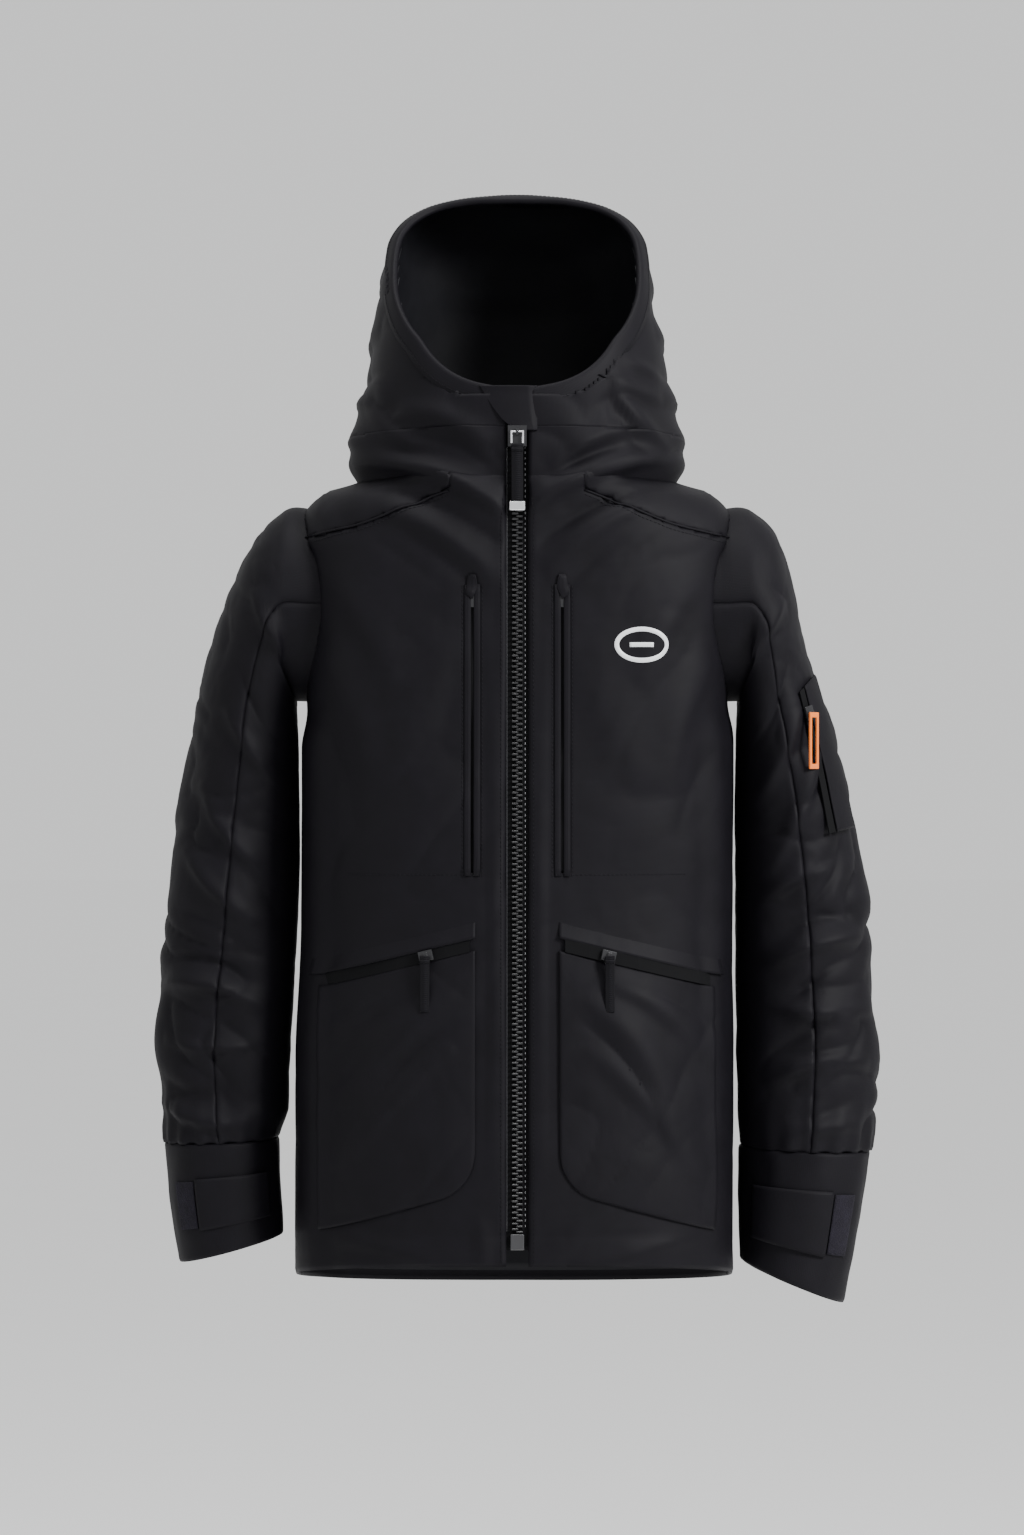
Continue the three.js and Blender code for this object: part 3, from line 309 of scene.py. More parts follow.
def bodyRelief(points):
    x, y, z = points[:, 0], points[:, 1], points[:, 2]
    front = rise(-y, -20, 60)
    gain = bodyFolds["gain"]
    swell = bodyFolds["swell"] * softNoise(points, bodyFolds["swellSize"], 1)
    size = bodyFolds["warpSize"]
    warp = points + bodyFolds["warp"] * np.stack([softNoise(points, size, seed) for seed in (2, 3, 4)], -1)
    crumple = bodyFolds["crumple"] * (ridged(warp @ slant(38), bodyFolds["crumpleSize"], 5) - 0.5)
    fine = bodyFolds["fine"] * (ridged(warp, bodyFolds["fineSize"], 6) - 0.5)
    d = swell + crumple + fine
    d += gain * (front * folds(x, z, bodyFolds["front"]) + (1 - front) * folds(x, z, bodyFolds["back"]))
    chest = rise(-np.abs(x), -38, -36) * rise(np.abs(x), 12, 16) * front
    d -= 0.5 * chest * rise(z, -330, -322) * rise(-z, 96, 104)
    centre = np.clip(np.abs(x) / 14, 0, 1) ** 2 * front + (1 - front)  # the zip's edges lie flat
    d *= np.where(z < -30, centre, centre * 0.8)
    r = np.hypot(y - sleeveShape["centre"][0], z - sleeveShape["centre"][1])
    d *= np.where(np.abs(x) > 100, rise(r, 76, 104), 1)
    d *= 0.35 + 0.65 * rise(z, -645, -600)
    d *= 1 - 0.9 * rise(z, -44, -18)
    throat = bodyFolds["throatGain"] * front * np.clip(np.abs(x) / 16, 0, 1) * folds(x, z, throatFolds)
    d += throat * np.where(np.abs(x) > 100, rise(r, 80, 100), 1)
    d += -bodyFolds["hemSeamDeep"] * np.exp(-np.abs(z - hemHeight(y) - bodyFolds["hemSeam"]) / 1.6)
    d = np.clip(d, *bodyFolds["limits"])
    cap = np.exp(-((r - sleeveShape["radius"]) / 18) ** 2)
    d += capLift["body"] * cap * rise(z, -80, -48) * rise(np.abs(x), 120, 150)
    room = sideLimit(x, z)
    near = rise(np.abs(x), 140, 156) * rise(-z, 192, 225)
    fill = np.where(near > 0, room - 0.8, 0) * near
    d = d * (1 - 0.7 * near) + fill
    d = np.where(np.abs(x) > 150, np.minimum(d, np.where(z < -190, room, 2.4)), d)
    d -= 1.4 * rise(z, -21, -14) * front  # the neck edge goes under the hood's base
    return d


capLift = {"body": 6.2, "sleeve": 2.4}  # how far the shoulder's padding fills out the armhole seam
# how far the body's sides may stand out, above and below
sideReach = {"left": (170.3, 170.5), "right": (170.3, 175)}


def sideLimit(x, z):
    half = bodyRing(z)[0]
    low = rise(-z, 370, 470)
    left = sideReach["left"][0] + (sideReach["left"][1] - sideReach["left"][0]) * low
    right = sideReach["right"][0] + (sideReach["right"][1] - sideReach["right"][0]) * low
    return np.maximum(np.where(x > 0, left, right) - half, 0.5)


hoodFolds = {
    "swell": 3.4, "crumple": 3.2, "gain": 1.4, "throatGain": 1.3, "limits": (-5, 8), "roll": 6,
    "swellSize": (80, 80, 60), "crumpleSize": (60, 60, 34),
    "front": [
        (70, 58, 122, 4, -6, 8, 4.2), (72, 50, 104, -6, -4, 5, -2.6), (70, 62, 126, 40, -4, 7, 3.2),
        (68, 60, 74, 18, 0, 2.5, -1.8), (80, 76, 124, 62, -2, 6, 2.6), (-118, 40, -60, 8, -10, 9, 3.2),
        (-120, 66, -84, 20, -6, 6, -2.4), (-124, 96, -104, 40, 0, 8, 3), (122, 98, 106, 44, 0, 8, 3),
    ],
    # seen from the side, in y and z
    "side": [
        (-60, 10, 90, 6, 8, 10, 4), (-40, 44, 110, 26, 10, 9, 3.4), (-20, 100, 120, 60, 12, 12, 3.2),
        (10, 150, 124, 100, 10, 12, 2.8), (-50, 66, 60, 50, 6, 6, -2.2), (20, 128, 110, 84, 6, 6, -2),
    ],
}


def hoodRelief(points):
    x, y, z = points[:, 0], points[:, 1], points[:, 2]
    front = rise(-y, 20, 80)
    swell = hoodFolds["swell"] * softNoise(points, hoodFolds["swellSize"], 11)
    crumple = hoodFolds["crumple"] * (ridged(points @ slant(25), hoodFolds["crumpleSize"], 12) - 0.5)
    d = swell + crumple + hoodFolds["gain"] * front * folds(x, z, hoodFolds["front"])
    d += hoodFolds["gain"] * (1 - front) * folds(y, z, hoodFolds["side"]) * rise(np.abs(x), 40, 80)
    d *= rise(z, -20, 10)
    d += hoodFolds["throatGain"] * front * folds(x, z, throatFolds)
    d *= np.clip(np.abs(x) / 16, 0, 1) * front + (1 - front)
    d *= 1 - 0.6 * rise(z, 170, 200)
    # the base rolls out over the neck seam
    roll = hoodFolds["roll"] * np.exp(-((z + 2) / 11) ** 2) * (1 - front)
    base = front * (2.8 * rise(z, -24, -8) - 2.2) + (1 - front) * 0.8
    return np.clip(d, *hoodFolds["limits"]) + roll + base


sleeveFolds = {
    "swell": 3, "crumple": 4.6, "fine": 0.7, "gain": 1.45, "limits": (-6, 9),
    "warp": 16, "warpSize": 60, "cuffGathers": 17, "cuffGatherDeep": 1.3,
    # how much fuller it hangs towards the body, along the sleeve
    "fillAt": (0.17, 0.23, 0.31, 0.385, 0.46, 0.54, 0.615, 0.69, 0.77, 0.83, 0.865),
    "fill": {"left": (0, 6.5, 4, 2, 1.4, 1.4, 2.4, 4, 5, 2.5, 0),
             "right": (0, 6.5, 4, 2, 1.4, 1.4, 3, 6.5, 10, 8, 0)},
    # seen from the front, in distance from the garment's middle and height
    "left": [
        (206, -106, 168, -166, 4, 9, 4.4), (222, -182, 172, -282, 8, 10, 4.6),
        (214, -150, 176, -236, 6, 6, -3), (238, -210, 190, -330, 8, 9, 3.2),
        (246, -318, 182, -352, -6, 8, 4.2), (270, -300, 206, -344, -6, 7, -3),
        (276, -372, 186, -402, -8, 9, 4.6), (268, -352, 192, -380, -6, 5, -3),
        (280, -430, 190, -420, 8, 8, 4.2), (278, -404, 214, -410, 4, 5, -2.6),
        (276, -470, 186, -492, -8, 9, 4), (270, -448, 200, -462, 6, 5, -2.8),
        (268, -520, 196, -540, -6, 8, 3.2), (262, -498, 210, -514, 4, 5, -2.4),
        (250, -560, 186, -566, 6, 7, 2.6),
    ],
    "right": [
        (204, -100, 168, -170, 4, 9, 4), (226, -190, 176, -262, 6, 9, 4),
        (216, -160, 180, -226, 6, 6, -2.6), (250, -250, 186, -330, 8, 9, 3.6),
        (262, -300, 204, -364, 4, 8, 3), (268, -350, 192, -398, -6, 8, -3),
        (279, -408, 190, -436, -10, 9, 5), (272, -386, 200, -412, -6, 5, -3.2),
        (276, -452, 196, -450, 8, 8, 3.6), (282, -500, 196, -512, 12, 9, 4.8),
        (280, -482, 220, -488, 10, 5, -3.2), (270, -536, 198, -548, 6, 7, 3),
    ],
}


def sleeveRelief(side, points, angle, v):
    x, y, z = np.abs(points[:, 0]), points[:, 1], points[:, 2]
    name = "left" if side > 0 else "right"
    seed = 20 + side
    facing = rise(np.sin(angle), -0.25, 0.5)
    size = sleeveFolds["warpSize"]
    warp = points + sleeveFolds["warp"] * np.stack([softNoise(points, size, seed + k) for k in (2, 3, 4)], -1)
    low = rise(v, 0.35, 0.6)
    d = sleeveFolds["swell"] * softNoise(points, (70, 70, 90), seed)
    creased = ridged(warp @ slant(-side * 24), (70, 60, 28 + 8 * (side > 0)), seed + 6) - 0.5
    d += sleeveFolds["crumple"] * (0.5 + low) * creased
    d += sleeveFolds["fine"] * (ridged(warp, (15, 18, 13), seed + 7) - 0.5)
    d += sleeveFolds["gain"] * facing * folds(x, z, sleeveFolds[name])
    behind = [(u0, w0 - 26, u1, w1 - 14, -bow, wide, high * 0.8)
              for u0, w0, u1, w1, bow, wide, high in sleeveFolds[name]]
    d += sleeveFolds["gain"] * (1 - facing) * folds(x, z, behind)
    d *= rise(v, 0.115, 0.2)
    d *= 1 - 0.7 * rise(v, 0.82, 0.865)
    gathers = sleeveFolds["cuffGatherDeep"] * np.sin(angle * sleeveFolds["cuffGathers"] + side)
    d += gathers * np.exp(-(sleeveShape["cuffStart"] - v) / 0.03) * rise(v, 0.7, 0.8)
    inner = rise(-np.cos(angle), 0.1, 0.85) * rise(v, 0.17, 0.23)
    fill = np.interp(v, sleeveFolds["fillAt"], sleeveFolds["fill"][name])
    d = np.clip(d, *sleeveFolds["limits"])
    d = d * (1 - 0.85 * inner) + fill * inner
    cap = np.exp(-(angle / 1.05) ** 2)
    return d + capLift["sleeve"] * cap * rise(x, 157, 167) * (1 - rise(x, 172, 190))


sheenSpread = 0.45
clothGloss = 0.09


def newMaterial(name, color, rough, metal=0.0, sheen=0.0, coat=0.0, specular=0.5):
    material = bpy.data.materials.new(name)
    material.use_nodes = True
    material.diffuse_color = (*color, 1)
    tree = material.node_tree
    shader = tree.nodes["Principled BSDF"]
    shader.inputs["Base Color"].default_value = (*color, 1)
    shader.inputs["Roughness"].default_value = rough
    shader.inputs["Metallic"].default_value = metal
    shader.inputs["Specular IOR Level"].default_value = specular
    shader.inputs["Sheen Weight"].default_value = sheen
    shader.inputs["Sheen Roughness"].default_value = sheenSpread
    shader.inputs["Coat Weight"].default_value = coat
    return material, tree, shader


def addNode(tree, kind, **values):
    made = tree.nodes.new(kind)
    for key, value in values.items():
        if key in made.inputs:
            made.inputs[key].default_value = value
        else:
            setattr(made, key, value)
    return made


def mottled(tree, shader, color, spread, scale):  # broad and fine colour variation on Object coordinates
    place = addNode(tree, "ShaderNodeTexCoord")
    cloud = addNode(tree, "ShaderNodeTexNoise", Scale=scale, Detail=5.0, Roughness=0.62)
    ramp = addNode(tree, "ShaderNodeValToRGB")
    for stop, position, shade in zip(ramp.color_ramp.elements, (0.3, 0.72), (1 - spread, 1 + spread)):
        stop.position = position
        stop.color = (*[c * shade for c in color], 1)
    tree.links.new(place.outputs["Object"], cloud.inputs["Vector"])
    tree.links.new(cloud.outputs["Fac"], ramp.inputs["Fac"])
    tree.links.new(ramp.outputs["Color"], shader.inputs["Base Color"])
    return place, cloud, ramp


def roughened(tree, shader, source, low, high):
    reach = addNode(tree, "ShaderNodeMapRange")
    reach.inputs["To Min"].default_value, reach.inputs["To Max"].default_value = low, high
    tree.links.new(source, reach.inputs["Value"])
    tree.links.new(reach.outputs["Result"], shader.inputs["Roughness"])


# gapShade: how strongly painted shade darkens the gaps between the threads, where the weave's bump is low
def wovenMaterial(name, color, rough, pitch, depth, spread=0.16, sheen=0.12, twill=False, gapShade=0.35):
    material, tree, shader = newMaterial(name, color, rough, sheen=sheen, specular=clothGloss)
    place, cloud, ramp = mottled(tree, shader, color, spread, 34.0)
    turn = addNode(tree, "ShaderNodeMapping")
    turn.inputs["Rotation"].default_value = (0, 0, rad(28 if twill else 0))
    tree.links.new(place.outputs["UV"], turn.inputs["Vector"])
    threads = []
    for direction in ("X", "Y"):
        wave = addNode(tree, "ShaderNodeTexWave", wave_type="BANDS", bands_direction=direction,
                       wave_profile="SIN", Scale=math.pi / 10 / pitch, Distortion=0.6, Detail=1.0)
        wave.inputs["Detail Scale"].default_value = 0.4
        tree.links.new(turn.outputs["Vector"], wave.inputs["Vector"])
        threads.append(wave)
    weave = addNode(tree, "ShaderNodeMath", operation="MULTIPLY")
    for wave, socket in zip(threads, weave.inputs):
        tree.links.new(wave.outputs["Fac"], socket)
    # painted shade: the colour is multiplied by the weave, so it is darker in the gaps between threads where
    # the bump sinks
    gapShadeMix = addNode(tree, "ShaderNodeMix", data_type="RGBA", blend_type="MULTIPLY")
    gapShadeMix.inputs["Factor"].default_value = gapShade
    tree.links.new(ramp.outputs["Color"], gapShadeMix.inputs["A"])
    tree.links.new(weave.outputs["Value"], gapShadeMix.inputs["B"])
    tree.links.new(gapShadeMix.outputs["Result"], shader.inputs["Base Color"])
    bump = addNode(tree, "ShaderNodeBump", Strength=0.5, Distance=depth)
    tree.links.new(weave.outputs["Value"], bump.inputs["Height"])
    tree.links.new(bump.outputs["Normal"], shader.inputs["Normal"])
    roughened(tree, shader, cloud.outputs["Fac"], rough - 0.08, rough + 0.08)
    return material


def mouldedMaterial(name, color, rough, metal=0.0, grain=900.0, depth=0.00004, coat=0.0, spread=0.12):
    material, tree, shader = newMaterial(name, color, rough, metal=metal, coat=coat)
    place, cloud, _ = mottled(tree, shader, color, spread, 60.0)
    speck = addNode(tree, "ShaderNodeTexNoise", Scale=grain, Detail=3.0)
    tree.links.new(place.outputs["Object"], speck.inputs["Vector"])
    bump = addNode(tree, "ShaderNodeBump", Strength=0.4, Distance=depth)
    tree.links.new(speck.outputs["Fac"], bump.inputs["Height"])
    tree.links.new(bump.outputs["Normal"], shader.inputs["Normal"])
    roughened(tree, shader, cloud.outputs["Fac"], rough * 0.75, rough * 1.25)
    return material


def hookMaterial(name, color):  # hook-and-loop: a dense field of tiny tufts
    material, tree, shader = newMaterial(name, color, 0.95, specular=0.2)
    place, _, _ = mottled(tree, shader, color, 0.3, 120.0)
    cells = addNode(tree, "ShaderNodeTexVoronoi", Scale=700.0, feature="F1")
    bump = addNode(tree, "ShaderNodeBump", Strength=0.9, Distance=0.0006)
    tree.links.new(place.outputs["Object"], cells.inputs["Vector"])
    tree.links.new(cells.outputs["Distance"], bump.inputs["Height"])
    tree.links.new(bump.outputs["Normal"], shader.inputs["Normal"])
    return material


materials = {
    "shell": wovenMaterial("shellCloth", (0.0048, 0.0042, 0.0062), 0.6, 0.0009, 0.00012, sheen=0.0),
    "lining": wovenMaterial("liningCloth", (0.009, 0.009, 0.011), 0.5, 0.0006, 0.00006, sheen=0.0),
    "knit": wovenMaterial("knitRib", (0.005, 0.005, 0.0065), 0.92, 0.0022, 0.0005, sheen=0.03),
    "tape": wovenMaterial("zipTape", (0.0035, 0.0035, 0.0042), 0.8, 0.0011, 0.0002, twill=True, sheen=0.0),
    "ribbon": wovenMaterial("wovenRibbon", (0.0045, 0.0042, 0.0058), 0.78, 0.0016, 0.0005, sheen=0.02),
    "thread": wovenMaterial("sewingThread", (0.008, 0.0075, 0.01), 0.6, 0.0006, 0.0001, sheen=0.0),
    "paleThread": wovenMaterial("paleThread", (0.42, 0.42, 0.44), 0.6, 0.0006, 0.0001),
    "orange": wovenMaterial("orangeBraid", (0.86, 0.2, 0.03), 0.7, 0.0014, 0.0004, spread=0.1,
                            gapShade=0.25),
    "tooth": mouldedMaterial("toothPlastic", (0.007, 0.007, 0.008), 0.3, coat=0.1),
    "enamel": mouldedMaterial("sliderEnamel", (0.02, 0.02, 0.022), 0.3, metal=0.4, grain=1400.0),
    "plastic": mouldedMaterial("mouldedPlastic", (0.018, 0.018, 0.02), 0.42),
    "silver": mouldedMaterial("polishedMetal", (0.82, 0.82, 0.84), 0.24, metal=1.0, grain=500.0, spread=0.05),
    "strip": mouldedMaterial("coatedTape", (0.02, 0.02, 0.023), 0.24, grain=500.0, coat=0.2),
    "print": mouldedMaterial("paleTransfer", (0.55, 0.56, 0.57), 0.36, grain=700.0, spread=0.04),
    "hook": hookMaterial("hookTape", (0.006, 0.005, 0.009)),
    "label": wovenMaterial("labelCloth", (0.32, 0.32, 0.33), 0.7, 0.0008, 0.0002),
}
print("materials ready")


def gridMesh(columns, rows, place, flatSize):
    # A grid of cloth: place gives each vertex its point in millimetres from its shares across and up.
    bm = bmesh.new()
    bmesh.ops.create_grid(bm, x_segments=columns, y_segments=rows, size=0.5)
    share = np.array([v.co[:2] for v in bm.verts]) + 0.5
    layer = bm.loops.layers.uv.new("UVMap")
    for face in bm.faces:
        for loop in face.loops:
            loop[layer].uv = share[loop.vert.index] * np.array(flatSize) * mm
    points = place(share[:, 0], share[:, 1])
    for vertex, point in zip(bm.verts, points):
        vertex.co = point
    bm.normal_update()
    return bm, share


def outwards(bm, inside=(0, 10, None)):  # turns the faces away from the garment's middle line
    bm.normal_update()
    total = 0
    for face in list(bm.faces)[::37]:
        centre = face.calc_center_median()
        middle = Vector((inside[0], inside[1], centre.z if inside[2] is None else inside[2]))
        total += face.normal.dot((centre - middle).normalized()) * face.calc_area()
    if total < 0:
        bmesh.ops.reverse_faces(bm, faces=bm.faces)
        bm.normal_update()


def pointsOf(bm):
    return np.array([v.co[:] for v in bm.verts])


def pushOut(bm, distance):  # moves each vertex along its normal
    bm.normal_update()
    for vertex, d in zip(bm.verts, distance):
        vertex.co += vertex.normal * float(d)
    bm.normal_update()


def sliceAt(bm, point, normal, test):  # a clean cut across the faces that pass the test
    faces = [f for f in bm.faces if test(f.calc_center_median())]
    geom = faces + list({e for f in faces for e in f.edges}) + list({v for f in faces for v in f.verts})
    bmesh.ops.bisect_plane(bm, geom=geom, dist=0.05, plane_co=point, plane_no=normal)


def takeOut(bm, test):  # deletes the faces that pass the test
    bmesh.ops.delete(bm, geom=[f for f in bm.faces if test(f.calc_center_median())], context="FACES")


def partOf(bm, test):
    copied = bm.copy()
    takeOut(copied, lambda c: not test(c))
    return copied


def dipEdges(bm, depth, test=lambda c: True):  # a sewn edge sinks into its seam
    bm.normal_update()
    for vertex in [v for v in bm.verts if v.is_boundary and test(v.co)]:
        vertex.co -= vertex.normal * depth


def makePiece(name, bm, material, body, nodes=(), thick=0, smooth=True):
    bmesh.ops.scale(bm, vec=(mm, mm, mm), verts=bm.verts)
    bmesh.ops.translate(bm, vec=toFrame, verts=bm.verts)
    for face in bm.faces:
        face.smooth = smooth
    mesh = bpy.data.meshes.new(name)
    bm.to_mesh(mesh)
    bm.free()
    piece = bpy.data.objects.new(name, mesh)
    bpy.context.scene.collection.objects.link(piece)
    mesh.materials.append(materials[material])
    if thick:
        wall = piece.modifiers.new("Thickness", "SOLIDIFY")
        wall.thickness, wall.offset = thick * mm, -1
    if body == "neck":  # the hood's pieces are attached to no body: their place is baked into the mesh
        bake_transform(piece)
    else:
        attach(piece, body)
    if nodes:
        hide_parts(*nodes)
    return piece


def joinMeshes(parts):
    whole = bmesh.new()
    for part in parts:
        mesh = bpy.data.meshes.new("part")
        part.to_mesh(mesh)
        part.free()
        whole.from_mesh(mesh)
        bpy.data.meshes.remove(mesh)
    return whole


def sweep(path, normals, section, closed=False):
    # A closed outline of (sideways, outwards) places carried along a path, with its ends filled.
    bm = bmesh.new()
    layer = bm.loops.layers.uv.new("UVMap")
    path = np.asarray(path, float)
    steps = np.gradient(path, axis=0) if not closed else np.roll(path, -1, 0) - np.roll(path, 1, 0)
    steps /= np.linalg.norm(steps, axis=1, keepdims=True)
    normals = np.asarray(normals, float)
    normals = normals - steps * np.sum(normals * steps, axis=1, keepdims=True)
    normals /= np.linalg.norm(normals, axis=1, keepdims=True)
    across = np.cross(steps, normals)
    rings = []
    for place, side, out in zip(path, across, normals):
        rings.append([bm.verts.new(place + side * a + out * b) for a, b in section])
    count = len(section)
    run = np.concatenate([[0], np.cumsum(np.linalg.norm(np.diff(path, axis=0), axis=1))]) * mm
    pairs = list(zip(range(len(rings) - 1), range(1, len(rings))))
    if closed:
        pairs.append((len(rings) - 1, 0))
    for i, j in pairs:
        for k in range(count):
            n = (k + 1) % count
            face = bm.faces.new((rings[i][k], rings[i][n], rings[j][n], rings[j][k]))
            for loop, (u, w) in zip(face.loops, ((k, i), (k + 1, i), (k + 1, j), (k, j))):
                loop[layer].uv = (u * 0.002, run[min(w, len(run) - 1)] if w or not closed else 0)
    if not closed:
        bm.faces.new(rings[0][::-1])
        bm.faces.new(rings[-1])
    bmesh.ops.recalc_face_normals(bm, faces=bm.faces)
    return bm


def roundedBand(wide, thick, low=0.0, corner=3):  # a flat section with round edges, from low outwards
    points = []
    r = thick / 2
    for centre, start in ((wide / 2 - r, -90), (-wide / 2 + r, 90)):
        for k in range(corner + 1):
            a = rad(start + 180 * k / corner)
            points.append((centre + r * math.cos(a), low + r + r * math.sin(a)))
    return points


def disc(radius, count=8):
    turns = [2 * math.pi * k / count for k in range(count)]
    return [(radius * math.cos(a), radius * math.sin(a)) for a in turns]


def resample(path, gap):
    path = np.asarray(path, float)
    length = np.concatenate([[0], np.cumsum(np.linalg.norm(np.diff(path, axis=0), axis=1))])
    t = np.linspace(0, length[-1], max(2, int(length[-1] / gap) + 1))
    return np.stack([np.interp(t, length, path[:, k]) for k in range(3)], -1)


stitch = {"pitch": 3.4, "long": 2.3, "thick": 0.5, "fromSlot": 7.6}


def stitches(paths, tree=None, lift=0.1, pitch=None, long=None, thick=None):
    # Short raised threads along each path, laid on the cloth under them.
    pitch, long, thick = pitch or stitch["pitch"], long or stitch["long"], thick or stitch["thick"]
    bm = bmesh.new()
    for path in paths:
        points = resample(path, pitch)
        for a, b in zip(points[:-1], points[1:]):
            a, b = Vector(a), Vector(b)
            middle, along = (a + b) / 2, (b - a).normalized()
            normal = None
            if tree:
                spot, normal, _, _ = tree.find_nearest(middle)
                middle = spot + normal * (lift + thick * 0.15)
            turn = along.to_track_quat("Y", "Z")
            if normal:
                side = along.cross(normal).normalized()
                along = normal.cross(side)
                turn = Matrix((side, along, normal)).transposed().to_quaternion()
            size = Matrix.Diagonal((thick, long, thick * 0.7, 1))
            place = Matrix.Translation(middle) @ turn.to_matrix().to_4x4() @ size
            bmesh.ops.create_cone(bm, cap_ends=True, segments=6, radius1=0.5, radius2=0.5, depth=1,
                                  matrix=place @ Matrix.Rotation(rad(90), 4, "X"))
    return bm


def treeOf(*meshes):  # what stitches and trims are laid on
    verts, faces = [], []
    for bm in meshes:
        bm.verts.index_update()
        start = len(verts)
        verts += [v.co.copy() for v in bm.verts]
        faces += [[start + v.index for v in f.verts] for f in bm.faces]
    return BVHTree.FromPolygons(verts, faces)


def refined(name, node, material, body, bevel=0.35, segments=2, nodes=None):
    # A copy of a frame node with its edges rounded.
    bm = bmesh.new()
    bm.from_mesh(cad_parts[node].data)
    bmesh.ops.remove_doubles(bm, verts=bm.verts, dist=1e-6)
    bmesh.ops.dissolve_limit(bm, angle_limit=rad(4), verts=bm.verts, edges=bm.edges)
    edges = [e for e in bm.edges if e.is_manifold and e.calc_face_angle() > rad(35)]
    bmesh.ops.bevel(bm, geom=edges, offset=bevel * mm, offset_type="OFFSET", segments=segments, profile=0.5,
                    affect="EDGES", clamp_overlap=True, material=-1)
    bmesh.ops.translate(bm, vec=-toFrame, verts=bm.verts)
    bmesh.ops.scale(bm, vec=(1 / mm, 1 / mm, 1 / mm), verts=bm.verts)
    return makePiece(name, bm, material, body, nodes or (node,), smooth=False)


body = {"columns": 264, "rows": 172, "zipEdge": 8.5, "thick": 2, "topZ": -14, "seamDip": 0.9,
        "yoke": [(52, -26), (118, -52), (260, -84)], "sideSeam": 10, "backYoke": -96,
        "slotX": 34.5, "slotHalf": 3.6, "slotZ": (-320, -104)}


def hemHeight(y, lift=0):
    return bodyShape["hemSide"] - bodyShape["hemSlope"] * y + lift


def bodyGrid(columns, rows, edge, inset=0, top=None, hemLift=0):
    # The cloth from one front edge round the back to the other, from the hem up.
    top = body["topZ"] if top is None else top

    def place(u, v):
        points = np.zeros((len(u), 3))
        for level in np.unique(np.round(v, 6)):
            row = np.abs(v - level) < 1e-5
            z = bodyShape["hemSide"] + (top - bodyShape["hemSide"]) * level
            start = ringStart(bodyRing, z, edge)
            angles, _ = evenAngles(bodyRing, z, start, -math.pi - start, columns + 1)
            angle = np.interp(u[row], np.linspace(0, 1, columns + 1), angles)
            spot = onRing(bodyRing, angle, np.full(angle.shape, z), inset)
            height = hemHeight(spot[:, 1], hemLift)
            height = height + (top - height) * level
            points[row] = onRing(bodyRing, angle, height, inset)
        return points

    bm, _ = gridMesh(columns, rows, place, (1050, 640))
    outwards(bm)
    return bm


def cutArmholes(bm, radius, inset=0):
    # Vertices just inside the hole move out to its edge, and the cloth within it goes.
    cy, cz = sleeveShape["centre"]
    inside = {v for v in bm.verts if abs(v.co.x) > 60 and math.hypot(v.co.y - cy, v.co.z - cz) < radius}
    bmesh.ops.delete(bm, geom=[f for f in bm.faces if all(v in inside for v in f.verts)], context="FACES")
    for vertex in [v for v in inside if v.is_valid]:
        away = Vector((vertex.co.y - cy, vertex.co.z - cz)).normalized() * radius
        vertex.co = sideOf(bodyRing, math.copysign(1, vertex.co.x), cy + away.x, np.array(cz + away.y), inset)


def makeBodyShell():
    bm = bodyGrid(body["columns"], body["rows"], body["zipEdge"])
    cutArmholes(bm, sleeveShape["radius"] + sleeveShape["room"])
    seamY = body["sideSeam"]
    for side in (1, -1):
        sliceAt(bm, (0, seamY, 0), (0, 1, 0), lambda c: c.x * side > 100 and abs(c.y - seamY) < 12)
        for (x0, z0), (x1, z1) in zip(body["yoke"][:-1], body["yoke"][1:]):
            normal = (side * (z0 - z1), 0, x1 - x0)
            sliceAt(bm, (side * x0, 0, z0), normal, lambda c: x0 - 5 < c.x * side < x1 + 5 and c.y < seamY)
        sliceAt(bm, (side * 52, 0, 0), (1, 0, 0), lambda c: c.z > -40 and c.y < 0 and 40 < c.x * side < 64)
        for x in (body["slotX"] - body["slotHalf"], body["slotX"] + body["slotHalf"]):
            low, high = body["slotZ"]
            sliceAt(bm, (side * x, 0, 0), (1, 0, 0),
                    lambda c: c.y < 0 and abs(c.x * side - x) < 8 and low - 8 < c.z < high + 8)
    for z in body["slotZ"]:
        sliceAt(bm, (0, 0, z), (0, 0, 1), lambda c: c.y < 0 and abs(abs(c.x) - body["slotX"]) < 9)
    sliceAt(bm, (0, 0, body["backYoke"]), (0, 0, 1), lambda c: c.y > 0 and abs(c.z - body["backYoke"]) < 12)
    sliceAt(bm, (0, 0, 0), (1, 0, 0), lambda c: c.y > 0 and abs(c.x) < 12 and c.z > body["backYoke"] - 12)
    bmesh.ops.dissolve_degenerate(bm, dist=0.3, edges=bm.edges)
    takeOut(bm, lambda c: c.y < 0 and abs(abs(c.x) - body["slotX"]) < body["slotHalf"]
            and body["slotZ"][0] < c.z < body["slotZ"][1])
    pushOut(bm, bodyRelief(pointsOf(bm)))
    return bm


def yokeHeight(x):
    near = body["yoke"][0][0]
    xs, heights = zip((0, 999), (near - 0.1, 999), *body["yoke"])  # no yoke nearer the zip
    return np.interp(abs(x), xs, heights)


def isYoke(c):
    return c.z > body["backYoke"] if c.y > body["sideSeam"] else c.z > yokeHeight(c.x)


